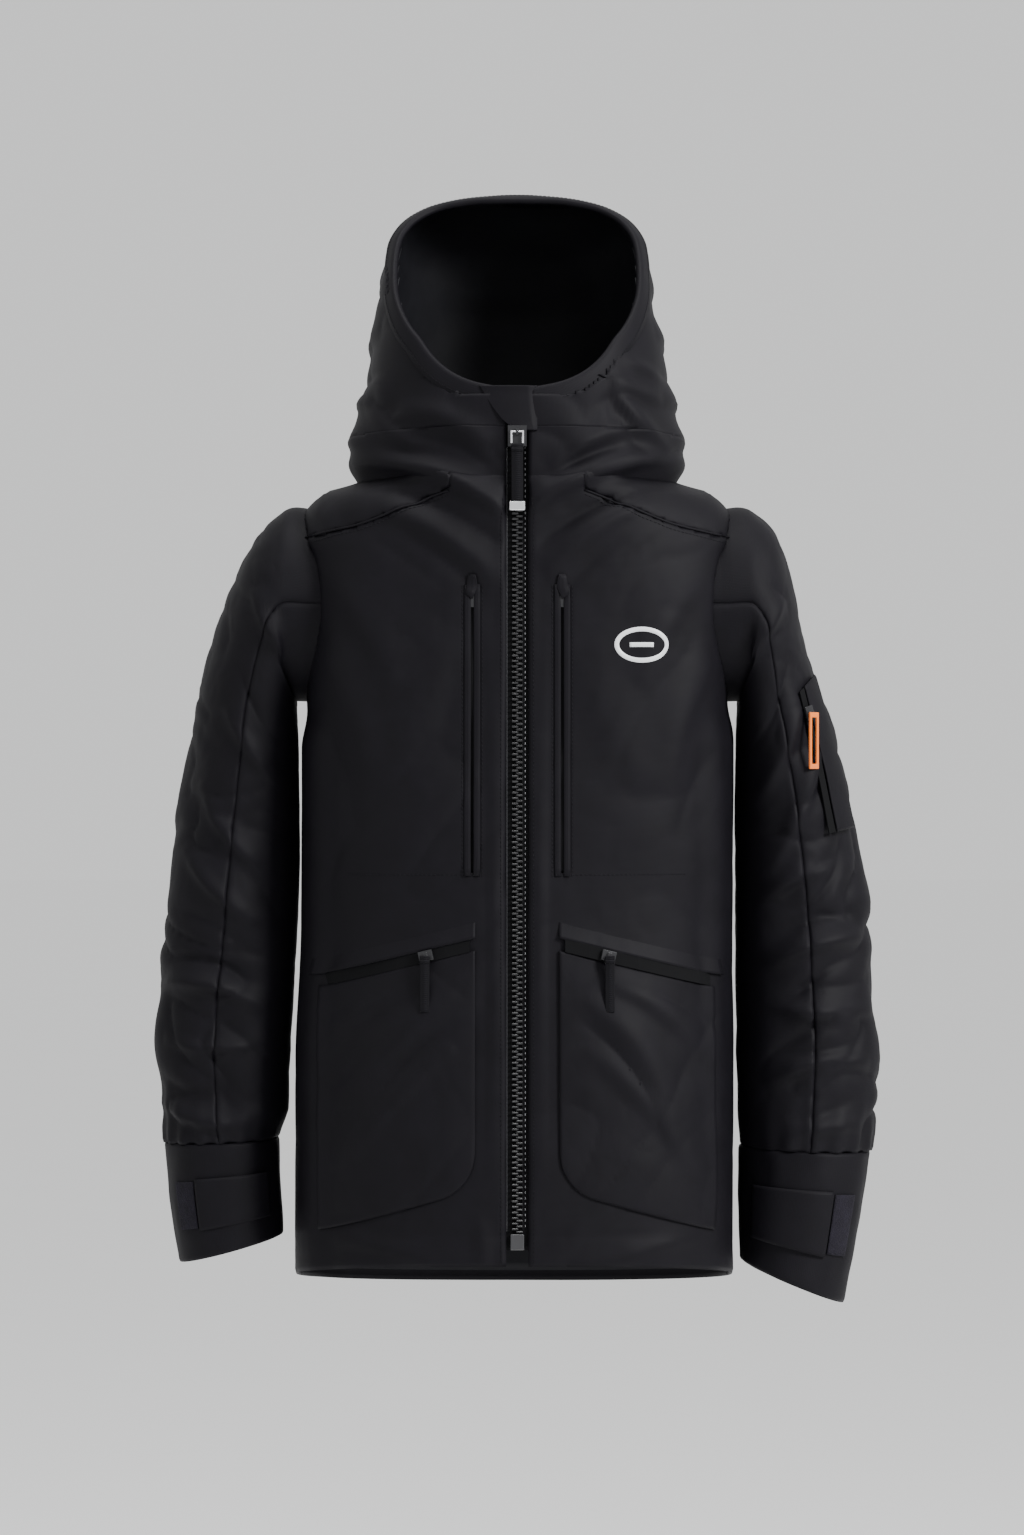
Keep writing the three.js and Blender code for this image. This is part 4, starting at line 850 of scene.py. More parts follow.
print("body shell")
shell = makeBodyShell()
shellTree = treeOf(shell)
panels = {
    "backPanel": (lambda c: c.y > body["sideSeam"] and not isYoke(c), ("back_panel",)),
}
for name, side in sides.items():
    panels["frontPanel" + name.title()] = (
        lambda c, side=side: c.y < body["sideSeam"] and c.x * side > 0 and not isYoke(c),
        ("front_panel_" + name,))
    panels["shoulderYoke" + name.title()] = (
        lambda c, side=side: c.x * side > 0 and isYoke(c), ("shoulder_yoke_" + name,))
for name, (test, nodes) in panels.items():
    part = partOf(shell, test)
    dipEdges(part, body["seamDip"], lambda c: c.z < -24)
    makePiece(name, part, "shell", "jacket_body", nodes,
                                  thick=body["thick"])
shell.free()


hood = {"columns": 210, "rows": 130, "zipEdge": 8.5, "thick": 2, "centreHalf": 39, "brimWide": 16,
        "pivot": (132.2, 11), "splitFront": (-101.5, 22), "setBack": 7}


def rimAt(z, setBack=0):  # the rim's place along y at a height
    y = np.array([p[0] for p in hoodShape["rim"]], float) + 0.72 * setBack
    h = np.array([p[1] for p in hoodShape["rim"]], float) - 0.69 * setBack
    return np.interp(z, h, y, left=-999)


def hoodLevels(count):  # heights at even distances up the hood's back
    z = np.linspace(-25, 215.8, 500)
    half, middle, deep, _ = hoodRing(z)
    path = np.stack([half, middle + deep, z], -1)
    length = np.concatenate([[0], np.cumsum(np.linalg.norm(np.diff(path, axis=0), axis=1))])
    return np.interp(np.linspace(0, length[-1], count), length, z)


def hoodGrid(columns, rows, edge, inset, setBack):
    levels = hoodLevels(rows + 1)

    def place(u, v):
        points = np.zeros((len(u), 3))
        index = np.round(v * rows).astype(int)
        for k in range(rows + 1):
            row = index == k
            z = levels[k]
            half = float(hoodRing(np.array(z))[0])
            start = math.pi / 2
            if z < 60:  # below the face opening the cloth reaches the zip
                start = math.acos(min(0.999, edge / half) ** (hoodShape["squareness"] / 2))
            angles, _ = evenAngles(hoodRing, z, start, -math.pi - start, columns + 1)
            angle = np.interp(u[row], np.linspace(0, 1, columns + 1), angles)
            points[row] = onRing(hoodRing, angle, np.full(angle.shape, z), inset)
        return points

    bm, _ = gridMesh(columns, rows, place, (760, 420))
    outwards(bm, (0, 20, 90))
    bmesh.ops.remove_doubles(bm, verts=[v for v in bm.verts if v.co.z > 215 - inset], dist=1.2)
    takeOut(bm, lambda c: c.y < rimAt(c.z, setBack))
    return bm


def splitHeight(y):
    (y0, z0), (y1, z1) = hood["pivot"], hood["splitFront"]
    return z0 + (z1 - z0) * (y - y0) / (y1 - y0)


print("hood")
hoodCloth = hoodGrid(hood["columns"], hood["rows"], hood["zipEdge"], 0, hood["setBack"])
splitSlope = (hood["splitFront"][1] - hood["pivot"][1]) / (hood["splitFront"][0] - hood["pivot"][0])
sliceAt(hoodCloth, (0, *hood["pivot"]), (0, -splitSlope, 1), lambda c: abs(c.z - splitHeight(c.y)) < 12)
for side in (1, -1):
    sliceAt(hoodCloth, (side * hood["centreHalf"], 0, 0), (1, 0, 0),
            lambda c: abs(c.x * side - hood["centreHalf"]) < 12 and c.y > 0)
sliceAt(hoodCloth, (0, 0, 0), (1, 0, 0), lambda c: abs(c.x) < 8 and c.y > 0 and c.z < 20)
bmesh.ops.dissolve_degenerate(hoodCloth, dist=0.3, edges=hoodCloth.edges)
pushOut(hoodCloth, hoodRelief(pointsOf(hoodCloth)))


def isGuard(c):
    return c.z < splitHeight(c.y)


def isCentre(c):
    return c.y > 0 and abs(c.x) < hood["centreHalf"]


hoodParts = {"hoodCentrePanel": (lambda c: not isGuard(c) and isCentre(c), ("hood_centre_panel",))}
for name, side in sides.items():
    hoodParts["hoodSidePanel" + name.title()] = (
        lambda c, side=side: not isGuard(c) and not isCentre(c) and c.x * side > 0,
        ("hood_side_panel_" + name,))
    hoodParts["chinGuard" + name.title()] = (
        lambda c, side=side: isGuard(c) and c.x * side > 0, ("chin_guard_" + name,))
for name, (test, nodes) in hoodParts.items():
    part = partOf(hoodCloth, test)
    dipEdges(part, 0.8, lambda c: c.y > 0 and c.z > 24)
    makePiece(name, part, "shell", "neck", nodes, thick=hood["thick"])
hoodCloth.free()


def rimCurve():  # the face opening's edge, from the chin on the wearer's left over the crown to the right
    rim = np.array(hoodShape["rim"], float)
    dense = resample(np.stack([np.zeros(len(rim)), rim[:, 0], rim[:, 1]], -1), 2)
    points = np.concatenate([sideOf(hoodRing, 1, p[1], np.array([p[2]])) for p in dense])
    _, middle, deep, _ = hoodRing(points[:, 2])
    keep = (np.abs((points[:, 1] - middle) / deep) < 0.9995) & (points[:, 2] < 215.5)
    left = points[keep]
    left = left[left[:, 0] > 1]
    start = np.array([[9.0, float(left[0][1]) - 0.5, 52.0]])
    return np.concatenate([start, left])


rimLeft = rimCurve()
rimWhole = resample(np.concatenate([rimLeft, (rimLeft * [-1, 1, 1])[::-1]]), 4)
evened = (rimWhole[:-2] + rimWhole[1:-1] + rimWhole[2:]) / 3
rimWhole = np.concatenate([rimWhole[:1], evened, rimWhole[-1:]])


def hoodNormal(points):
    half, middle, deep, power = hoodRing(points[:, 2])
    up = ringStep(points, 1.0) - ringStep(points, -1.0)
    gx = np.sign(points[:, 0]) * (np.abs(points[:, 0]) / half) ** (power - 1) / half
    gy = np.sign(points[:, 1] - middle) * (np.abs((points[:, 1] - middle) / deep)) ** (power - 1) / deep
    flat = np.stack([gx, gy, np.zeros(len(points))], -1)
    flat /= np.linalg.norm(flat, axis=1, keepdims=True) + 1e-9
    normal = np.cross(np.stack([-flat[:, 1], flat[:, 0], flat[:, 2]], -1), up)
    return normal / (np.linalg.norm(normal, axis=1, keepdims=True) + 1e-9)


def ringStep(points, step):  # the same place on the ring a step higher
    half, middle, deep, _ = hoodRing(points[:, 2])
    nextHalf, nextMiddle, nextDeep, _ = hoodRing(points[:, 2] + step)
    y = (points[:, 1] - middle) / deep * nextDeep + nextMiddle
    return np.stack([points[:, 0] / half * nextHalf, y, points[:, 2] + step], -1)


rimNormals = hoodNormal(rimWhole)
brimSection = [(1.2, -3.6), (0.2, -1.6), (0.4, 0.4), (1.6, 1.5), (4, 1.9), (8, 1.7), (12, 1.5),
               (hood["brimWide"], 0.9), (hood["brimWide"], -3.2), (8, -4.2)]
steps = np.gradient(rimWhole, axis=0)
backwards = np.cross(steps / np.linalg.norm(steps, axis=1, keepdims=True), rimNormals)
flip = 1 if backwards[len(backwards) // 4][1] > 0 else -1
brim = sweep(rimWhole, rimNormals, [(flip * a, b) for a, b in brimSection])
makePiece("hoodBrim", brim, "shell", "neck", ("hood_brim",))

chin = {"top": 53, "left": -29, "notch": (-2, 21), "right": 15.5, "foot": 18.5, "out": 2.4, "thick": 2.4}


def chinPlace(u, v):  # the flap that closes the collar over the zip's top
    t = np.clip(v, 0, 1)
    z = chin["foot"] + (chin["top"] - chin["foot"]) * t
    notchX, notchZ = chin["notch"]
    curve = notchX + (chin["left"] - notchX) * np.clip((z - notchZ) / (chin["top"] - notchZ), 0, 1) ** 0.62
    x = curve + (chin["right"] - curve) * u
    half, middle, deep, power = hoodRing(z)
    share = np.clip(np.abs(x / half), 0, 1)
    out = chin["out"] + 0.5 * np.sin(math.pi * np.clip(u * 1.1, 0, 1))
    out = out - 1.6 * rise(u, 0.82, 1) + 0.5 * rise(v, 0.8, 1)
    y = middle - (deep + out) * (1 - share ** power) ** (1 / power)
    return np.stack([x, y, z], -1)


chinFlap, _ = gridMesh(40, 36, chinPlace, (45, 35))
outwards(chinFlap, (0, 0, 35))
makePiece("chinFlap", chinFlap, "shell", "neck", thick=chin["thick"])

hoodInside = {"columns": 96, "rows": 60, "zipEdge": 12, "inset": 5.2, "setBack": 9, "foot": 24, "thick": 0.8}
liningCloth = hoodGrid(hoodInside["columns"], hoodInside["rows"], hoodInside["zipEdge"], hoodInside["inset"],
                       hoodInside["setBack"])
takeOut(liningCloth, lambda c: c.z < splitHeight(c.y) - hoodInside["foot"])
pushOut(liningCloth, 1.4 * softNoise(pointsOf(liningCloth), (50, 50, 40), 31) - 0.6)
makePiece("hoodLining", liningCloth, "lining", "neck", ("hood_lining",),
          thick=hoodInside["thick"])


sleeve = {"around": 62, "along": 220, "thick": 2, "cuffAround": 110, "cuffRows": 40, "cuffThick": 2.2,
          "gaiterInset": 11, "gaiterGap": 2.9, "gaiterFrom": 0.012, "gaiterTo": 0.97, "ribs": 64,
          "liningInset": 7.5, "liningThick": 0.6}


def sleevePanel(side, first, last, v0, v1, columns, rows, relief=True, inset=0):
    def place(u, w):
        return onSleeve(side, first + (last - first) * u, v0 + (v1 - v0) * w, -inset)

    bm, share = gridMesh(columns, rows, place, (175, 640 * (v1 - v0)))
    angle, v = first + (last - first) * share[:, 0], v0 + (v1 - v0) * share[:, 1]
    outwards(bm, sleeveMiddle(side, (v0 + v1) / 2))
    if relief:
        pushOut(bm, sleeveRelief(side, pointsOf(bm), angle, v))
    return bm


print("sleeves")
cuffStart = sleeveShape["cuffStart"]
quarter = math.pi / 2
for name, side in sides.items():
    bodyName = "sleeve_" + name
    outer = sleevePanel(side, -quarter, quarter, 0.0, cuffStart, sleeve["around"], sleeve["along"])
    under = sleevePanel(side, quarter, 3 * quarter, 0.0, cuffStart, sleeve["around"], sleeve["along"])
    for label, part in (("Outer", outer), ("Under", under)):
        dipEdges(part, 0.8)
        makePiece("sleeve" + label + name.title(), part, "shell", bodyName,
                  ("sleeve_" + label.lower() + "_" + name,), thick=sleeve["thick"])
    cuff = sleevePanel(side, 0, 2 * math.pi, cuffStart, 1, sleeve["cuffAround"], sleeve["cuffRows"],
                       relief=False)
    bmesh.ops.remove_doubles(cuff, verts=cuff.verts, dist=0.05)
    points = pointsOf(cuff)
    foot = float(points[:, 2].min())
    low = rise(points[:, 2], foot, foot + 40)
    creases = 0.7 * low * softNoise(points, (14, 14, 40), 43)
    pushOut(cuff, 1.1 * softNoise(points, (34, 34, 26), 41 + side) + creases)
    dipEdges(cuff, 0.6)
    makePiece("cuff" + name.title(), cuff, "shell", bodyName, ("cuff_" + name,),
              thick=sleeve["cuffThick"])

    def knitPlace(u, w, side=side):
        first = sleeve["gaiterFrom"]
        v = cuffStart + first + (sleeve["gaiterTo"] - cuffStart - first) * w
        inset = np.minimum(1, (v - cuffStart - first) / 0.03) * sleeve["gaiterInset"] + sleeve["gaiterGap"]
        ribs = 0.7 * np.abs(np.sin(u * math.pi * sleeve["ribs"]))
        return onSleeve(side, u * 2 * math.pi, v, -inset + ribs)

    gaiter, _ = gridMesh(384, 22, knitPlace, (240, 62))
    bmesh.ops.remove_doubles(gaiter, verts=gaiter.verts, dist=0.02)
    outwards(gaiter, sleeveMiddle(side, 0.93))
    makePiece("wristGaiter" + name.title(), gaiter, "knit", bodyName, ("wrist_gaiter_" + name,),
              thick=1.2)
    inner = sleevePanel(side, 0, 2 * math.pi, 0.03, cuffStart + 0.01, 64, 90, relief=False,
                        inset=sleeve["liningInset"])
    bmesh.ops.remove_doubles(inner, verts=inner.verts, dist=0.05)
    pushOut(inner, 1.2 * softNoise(pointsOf(inner), (30, 30, 26), 51 + side))
    makePiece("sleeveLining" + name.title(), inner, "lining", bodyName,
              thick=sleeve["liningThick"])


print("linings")
innerCloth = {"columns": 150, "rows": 96, "zipEdge": 34, "inset": 5.4, "top": -18, "hemLift": 8, "armhole": 6,
              "thick": 0.8}
lining = bodyGrid(innerCloth["columns"], innerCloth["rows"], innerCloth["zipEdge"], inset=innerCloth["inset"],
                  top=innerCloth["top"], hemLift=innerCloth["hemLift"])
cutArmholes(lining, sleeveShape["radius"] + innerCloth["armhole"], inset=innerCloth["inset"])
pushOut(lining, 0.8 * softNoise(pointsOf(lining), (46, 46, 52), 61) - 0.8)
makePiece("bodyLining", lining, "lining", "jacket_body", ("body_lining",),
          thick=innerCloth["thick"])

skirtShape = {"z": (-600, -470), "taper": 14, "edge": 34, "inset": 7.5, "gathers": 46, "thick": 0.8}
skirtSteps = 401


def skirtPlace(u, v):
    low, high = skirtShape["z"]
    points = np.zeros((len(u), 3))
    for level in np.unique(np.round(v, 6)):
        row = np.abs(v - level) < 1e-5
        height = low + (high - low) * level
        inset = skirtShape["inset"] + skirtShape["taper"] * (1 - level)
        start = ringStart(bodyRing, height, skirtShape["edge"])
        angles, _ = evenAngles(bodyRing, height, start, -math.pi - start, skirtSteps)
        angle = np.interp(u[row], np.linspace(0, 1, skirtSteps), angles)
        ripple = 1.4 * np.sin(u[row] * math.pi * 2 * skirtShape["gathers"])
        ripple = ripple * math.exp(-((level - 0.08) / 0.2) ** 2)  # gathered just above its lower edge
        points[row] = onRing(bodyRing, angle, np.full(angle.shape, height), inset + ripple)
    return points


skirt, _ = gridMesh(420, 26, skirtPlace, (1000, 131))
outwards(skirt)
skirtPiece = makePiece("powderSkirt", skirt, "lining", "jacket_body", ("powder_skirt",),
                       thick=skirtShape["thick"])

collar = {"foot": 3.6, "tall": 38, "half": 82, "front": 72, "back": 85, "open": 0.62, "thick": 2}


def onCollar(angle, z, out=0):
    lean = 2 + (z - 3) * 0.06
    half = collar["half"] - lean + out
    middle = (collar["back"] - collar["front"]) / 2
    deep = (collar["back"] + collar["front"]) / 2 - lean + out
    return roundLoop(half, middle, deep, hoodShape["squareness"], angle, z)


def collarPlace(u, v):
    angle = math.pi / 2 + collar["open"] + (2 * math.pi - 2 * collar["open"]) * u
    return onCollar(angle, collar["foot"] + collar["tall"] * v, 0.8 * np.sin(v * math.pi) - 0.2)


stand, _ = gridMesh(120, 14, collarPlace, (420, 38))
outwards(stand, (0, 6, 20))
makePiece("collarStand", stand, "lining", "jacket_body", ("collar_stand",),
          thick=collar["thick"])

shelf = {"from": 52, "round": 284, "thick": 1.2,  # degrees
         # height, half width, front, back
         "rows": [(-14.6, 121, 103, 117), (-9, 107, 90, 105), (-3, 91, 80, 93), (3.4, 81, 72, 84)]}


def shelfPlace(u, v):  # the neck facing, from the neck seam in to the collar's foot
    steps = np.linspace(0, 1, len(shelf["rows"]))
    z, half, front, back = (np.interp(v, steps, column) for column in zip(*shelf["rows"]))
    angle = rad(shelf["from"]) - u * rad(shelf["round"])
    return roundLoop(half, (back - front) / 2, (back + front) / 2, hoodShape["squareness"], angle, z)


neckFacing, _ = gridMesh(110, 12, shelfPlace, (560, 44))
outwards(neckFacing, (0, 6, -40))
makePiece("neckFacing", neckFacing, "lining", "jacket_body", thick=shelf["thick"])
refined("hangerLoop", "hanger_loop", "ribbon", "jacket_body", bevel=0.01, segments=1)

blank = {"half": 0.24, "z": 15.0, "steps": 14, "tall": 15, "thick": 0.6}
labelAngle = np.linspace(rad(-90) - blank["half"], rad(-90) + blank["half"], blank["steps"])
labelZ = np.full(blank["steps"], blank["z"])
labelPath = onCollar(labelAngle, labelZ, -3.2)
label = sweep(labelPath, onCollar(labelAngle, labelZ, -9) - labelPath,
              roundedBand(blank["tall"], blank["thick"], corner=2))
makePiece("neckLabel", label, "label", "jacket_body")


zipSpec = {"pitch": 4.2, "topZ": 22, "bottomZ": -606, "boxTall": 12, "behind": 3.4, "toothReach": 5.0,
           "toothThick": 3.4, "toothTall": 1.75, "tape": 13.2, "steps": 120}
alongZip = math.hypot(1, frontSlope)
zipFrame = Matrix.Translation((0, frontLine(0), 0)) @ Matrix.Rotation(-math.atan(frontSlope), 4, "X")
zipSpan = (zipSpec["bottomZ"] * alongZip, zipSpec["topZ"] * alongZip)


def inFrame(bm, place):
    bmesh.ops.transform(bm, matrix=place, verts=bm.verts)
    return bm


def straight(x, y, span, count, section):  # a section carried straight up the zip
    line = [(x, y, z) for z in np.linspace(*span, count)]
    return sweep(line, [(0, -1, 0)] * count, section)


def toothMesh(bm, side, z):
    # A tooth grips the tape with its wide foot and narrows to a rounded head over the middle line.
    made = bmesh.ops.create_cube(bm, size=1)["verts"]
    reach, thick = zipSpec["toothReach"], zipSpec["toothThick"]
    bmesh.ops.scale(bm, vec=(reach, thick, zipSpec["toothTall"]), verts=made)
    bmesh.ops.translate(bm, vec=(reach / 2 - 0.9, -thick / 2, 0), verts=made)
    for vertex in made:
        if vertex.co.x < 0:
            vertex.co.z *= 0.86
            vertex.co.y = -thick / 2 + (vertex.co.y + thick / 2) * 0.72
        else:
            vertex.co.z *= 0.8
    edges = list({e for v in made for e in v.link_edges})
    beveled = bmesh.ops.bevel(bm, geom=edges, offset=0.32, offset_type="OFFSET", segments=1, profile=0.5,
                              affect="EDGES", material=-1)
    verts = list({v for f in beveled["faces"] for v in f.verts} | {v for v in made if v.is_valid})
    for vertex in verts:
        vertex.co.x *= side
    bmesh.ops.translate(bm, vec=(0, zipSpec["behind"] - 0.3, z), verts=verts)


print("main zip")
for name, side in sides.items():
    teeth = bmesh.new()
    first = zipSpan[0] + zipSpec["boxTall"] + 1.6 + (0 if side > 0 else zipSpec["pitch"] / 2)
    for k in range(int((zipSpan[1] - first - 1) / zipSpec["pitch"]) + 1):
        toothMesh(teeth, side, first + k * zipSpec["pitch"])
    bmesh.ops.recalc_face_normals(teeth, faces=teeth.faces)
    makePiece("zipTeeth" + name.title(), inFrame(teeth, zipFrame), "tooth", "jacket_body",
              ("zip_teeth_" + name,), smooth=False)
    tape = straight(side * (zipSpec["tape"] / 2 + 0.2), zipSpec["behind"] + 0.9, zipSpan, zipSpec["steps"],
                    roundedBand(zipSpec["tape"] - 0.6, 0.8))
    cord = straight(side * 3.9, zipSpec["behind"] + 0.3, zipSpan, zipSpec["steps"], disc(0.8, 8))
    makePiece("zipTape" + name.title(), inFrame(joinMeshes([tape, cord]), zipFrame), "tape",
              "jacket_body", ("zip_tape_" + name,))
strip = straight(-7.95, zipSpec["behind"] - 0.25, (zipSpan[0] + 14, zipSpan[1] - 16), 60,
                 roundedBand(1.0, 0.6, corner=2))
makePiece("zipEdgeStrip", inFrame(strip, zipFrame), "strip", "jacket_body")
dashes = [[(6.1, zipSpec["behind"] - 0.1, z) for z in (zipSpan[0] + 16, zipSpan[1] - 14)]]
makePiece("zipStitching", inFrame(stitches(dashes, pitch=4.2, long=1.7, thick=0.55), zipFrame), "paleThread",
          "jacket_body")
refined("zipBottomBox", "zip_bottom_box", "plastic", "jacket_body", bevel=0.8, segments=3)
refined("mainSlider", "main_zip_slider", "enamel", "main_zip_slider", bevel=0.5, segments=3)
refined("mainBail", "main_zip_bail", "silver", "main_zip_pull", bevel=0.15, segments=2)
refined("mainPullTip", "main_zip_pull_tip", "silver", "main_zip_pull", bevel=0.7, segments=3)


def ribbonPull(name, node, wide, thick, bow=0.6):
    # A woven ribbon where the frame's plain pull lies, with a bound lower end.
    low, high = (np.array(c) * 1000 - np.array(toFrame) * 1000 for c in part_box(node))
    centre = (low + high) / 2
    count = 30
    z = np.linspace(high[2], low[2], count)
    t = np.linspace(0, 1, count)
    path = np.stack([np.full(count, centre[0]), centre[1] - bow * np.sin(t * math.pi) * 0.4, z], -1)
    strip = sweep(path, [(0, -1, 0)] * count, roundedBand(wide, thick, -thick / 2))
    binding = sweep(path[2:5], [(0, -1, 0)] * 3, roundedBand(wide + 0.5, thick + 0.7, -thick / 2 - 0.35))
    makePiece(name, joinMeshes([strip, binding]), "ribbon", node, (node,))


ribbonPull("mainPull", "main_zip_pull", 9.2, 1.5)

storm = {"x": -1, "behind": 2.2, "wide": 49, "thick": 1.2}
flap = straight(storm["x"], zipSpec["behind"] + storm["behind"], (zipSpan[0] + 4, zipSpan[1] - 2), 100,
                roundedBand(storm["wide"], storm["thick"], -storm["thick"], corner=4))
makePiece("stormFlap", inFrame(flap, zipFrame), "lining", "jacket_body", ("storm_flap",))


chest = {"x": 34.5, "z": (-320, -104), "gap": 1.3, "lipWide": 5.2, "lipThick": 1.7, "coverWide": 8.5}


def trace(path):  # a drawn line seen from the front, laid on the shell, with the cloth's normals
    points, normals = [], []
    for x, z in path:
        base = Vector(frontOf(np.array(float(x)), float(z)))
        spot, normal, _, _ = shellTree.find_nearest(base)
        points.append(spot[:])
        normals.append(normal[:])
    points = np.array(points)
    points[1:-1] = (points[:-2] + 2 * points[1:-1] + points[2:]) / 4
    return points, np.array(normals)


def line2d(*corners, gap=5):
    return [(p[0], p[2]) for p in resample([(x, 0, z) for x, z in corners], gap)]


print("pockets")
for name, side in sides.items():
    low, high = chest["z"]
    x = side * chest["x"]
    lips = []
    for edge in (-1, 1):
        middle = x + edge * (chest["gap"] / 2 + chest["lipWide"] / 2)
        path, normals = trace(line2d((middle, low - 3), (middle, high + 4), gap=6))
        path = path + normals * 0.2
        lips.append(sweep(path, normals, roundedBand(chest["lipWide"], chest["lipThick"], -0.8, corner=4)))
    foot, top = high - 5, high + 12
    garage, normals = trace(line2d((x, foot), (x, top), gap=3))
    cover = sweep(garage + normals * 0.6, normals, roundedBand(chest["coverWide"], 1.2, corner=4))
    for vertex in cover.verts:  # the cover over the slider narrows to both ends
        t = np.clip((vertex.co.z - foot) / (top - foot), 0.06, 0.94)
        vertex.co.x = x + (vertex.co.x - x) * (0.35 + 0.65 * math.sin(math.pi * t) ** 0.5)
    makePiece("chestWelt" + name.title(), joinMeshes(lips + [cover]), "shell", "jacket_body",
              ("chest_welt_" + name,))
    refined("chestZip" + name.title(), "chest_zip_" + name, "tape", "jacket_body", bevel=0.3)
    refined("chestSlider" + name.title(), "chest_slider_" + name, "enamel",
            "chest_slider_" + name)


hand = {"x": (34, 150), "flapLow": 4.6, "flapHigh": 28, "flapThick": 1.6, "bagX": (32, 150),
        "bagOut": (1.6, 3.2), "bagThick": 2.2, "corner": 26}


def onCloth(points, out):  # places laid on the shell, each a little way off its cloth
    placed = []
    for point, distance in zip(points, out):
        spot, normal, _, _ = shellTree.find_nearest(Vector(point))
        placed.append((spot + normal * float(distance))[:])
    return np.array(placed)


def bagPlace(side):
    # The patch pocket: from its lower edge up to the zip, round at its lower inner corner.
    def place(u, v):
        x = hand["bagX"][0] + (hand["bagX"][1] - hand["bagX"][0]) * u
        top, low = handLine(x) - 5.2, bagEdge(x)
        near = np.clip(1 - (x - hand["bagX"][0]) / hand["corner"], 0, 1)
        low = low + hand["corner"] * (1 - np.sqrt(np.clip(1 - near ** 2, 0, 1)))
        z = low + (top - low) * v
        edge = np.minimum(np.minimum(u, v) * 5, 1)
        full = np.sqrt(edge) * (0.35 + 0.65 * (1 - v)) * np.minimum((1 - v) * 9, 1)
        puff = hand["bagOut"][0] + hand["bagOut"][1] * full
        puff = puff + 0.8 * softNoise(np.stack([x, z * 0, z], -1), (34, 30, 44), 81 + side)
        return onCloth(frontOf(side * x, z), puff)
    return place


def flapPlace(side):
    def place(u, v):
        x = hand["x"][0] - 2 + (hand["x"][1] + 6 - hand["x"][0]) * u
        z = handLine(x) + hand["flapLow"] + (hand["flapHigh"] - hand["flapLow"]) * v
        return onCloth(frontOf(side * x, z), -1.2 + 4.4 * (1 - v) ** 1.8)
    return place


for name, side in sides.items():
    flapMesh, _ = gridMesh(60, 10, flapPlace(side), (122, 20))
    outwards(flapMesh)
    makePiece("handFlap" + name.title(), flapMesh, "shell", "jacket_body",
              ("hand_flap_" + name,), thick=hand["flapThick"])
    bag, _ = gridMesh(64, 84, bagPlace(side), (131, 210))
    outwards(bag)
    makePiece("handPocket" + name.title(), bag, "shell", "jacket_body",
              thick=hand["bagThick"])
    refined("handZip" + name.title(), "hand_zip_" + name, "tape", "jacket_body", bevel=0.2)
    refined("handSlider" + name.title(), "hand_slider_" + name, "enamel",
            "hand_slider_" + name)
    ribbonPull("handPull" + name.title(), "hand_pull_" + name, 7.6, 2.0, bow=0.2)


def sleevePlace(side, angle, v, lift):  # a patch on the sleeve between two angles and two places along it
    def place(u, w):
        return onSleeve(side, angle[0] + (angle[1] - angle[0]) * u, v[0] + (v[1] - v[0]) * w, lift)
    return place


tab = {"angle": (rad(64), rad(143)), "v": (0.902, 0.965), "lift": 2.4, "thick": 1.7}
hooks = {"angle": (rad(38), rad(62)), "v": (0.905, 0.962), "lift": 1.5, "thick": 1.3}
for name, side in sides.items():
    tabMesh, share = gridMesh(26, 16, sleevePlace(side, tab["angle"], tab["v"], tab["lift"]), (60, 42))
    outwards(tabMesh, sleeveMiddle(side, 0.93))
    pushOut(tabMesh, [0.35 * math.sin(9 * s[0]) * (1 - s[0]) for s in share])
    dipEdges(tabMesh, 0.35)
    makePiece("cuffTab" + name.title(), tabMesh, "shell", "cuff_tab_" + name, ("cuff_tab_" + name,),
              thick=tab["thick"])
    patch, _ = gridMesh(14, 14, sleevePlace(side, hooks["angle"], hooks["v"], hooks["lift"]), (20, 40))
    outwards(patch, sleeveMiddle(side, 0.93))
    makePiece("cuffPatch" + name.title(), patch, "hook", "sleeve_" + name, thick=hooks["thick"])

pocket = {"angle": (rad(22), rad(62) - 0.16), "v": (5.5 / 12 * cuffStart, 7.5 / 12 * cuffStart), "lift": 2.0,
          "thick": 1.5}
panel, _ = gridMesh(30, 50, sleevePlace(1, pocket["angle"], pocket["v"], pocket["lift"]), (50, 95))
outwards(panel, sleeveMiddle(1, 0.46))
pushOut(panel, 0.5 * softNoise(pointsOf(panel), (20, 20, 24), 71))
dipEdges(panel, 0.7)
makePiece("sleevePocket", panel, "shell", "sleeve_left", ("sleeve_pocket",),
          thick=pocket["thick"])
refined("sleeveZip", "sleeve_zip", "tape", "sleeve_left", bevel=0.2)
refined("sleeveSlider", "sleeve_slider", "enamel", "sleeve_slider")
refined("sleevePull", "sleeve_pull", "orange", "sleeve_pull", bevel=0.7, segments=3)


lockEdges = {"lock": 0.9, "button": 0.8, "segments": 3}
print("cord locks")
for place, node, lockBody in [("hood", "hood", "hood"), ("hem", "hem_left", "jacket_body"),
                              ("hem", "hem_right", "jacket_body")]:
    end = node[len("hem_"):].title() if place == "hem" else ""
    refined(place + "CordLock" + end, node + "_cord_lock", "plastic", lockBody,
            bevel=lockEdges["lock"], segments=lockEdges["segments"])
    refined(place + "LockButton" + end, node + "_lock_button", "plastic",
            node + "_lock_button", bevel=lockEdges["button"], segments=lockEdges["segments"])


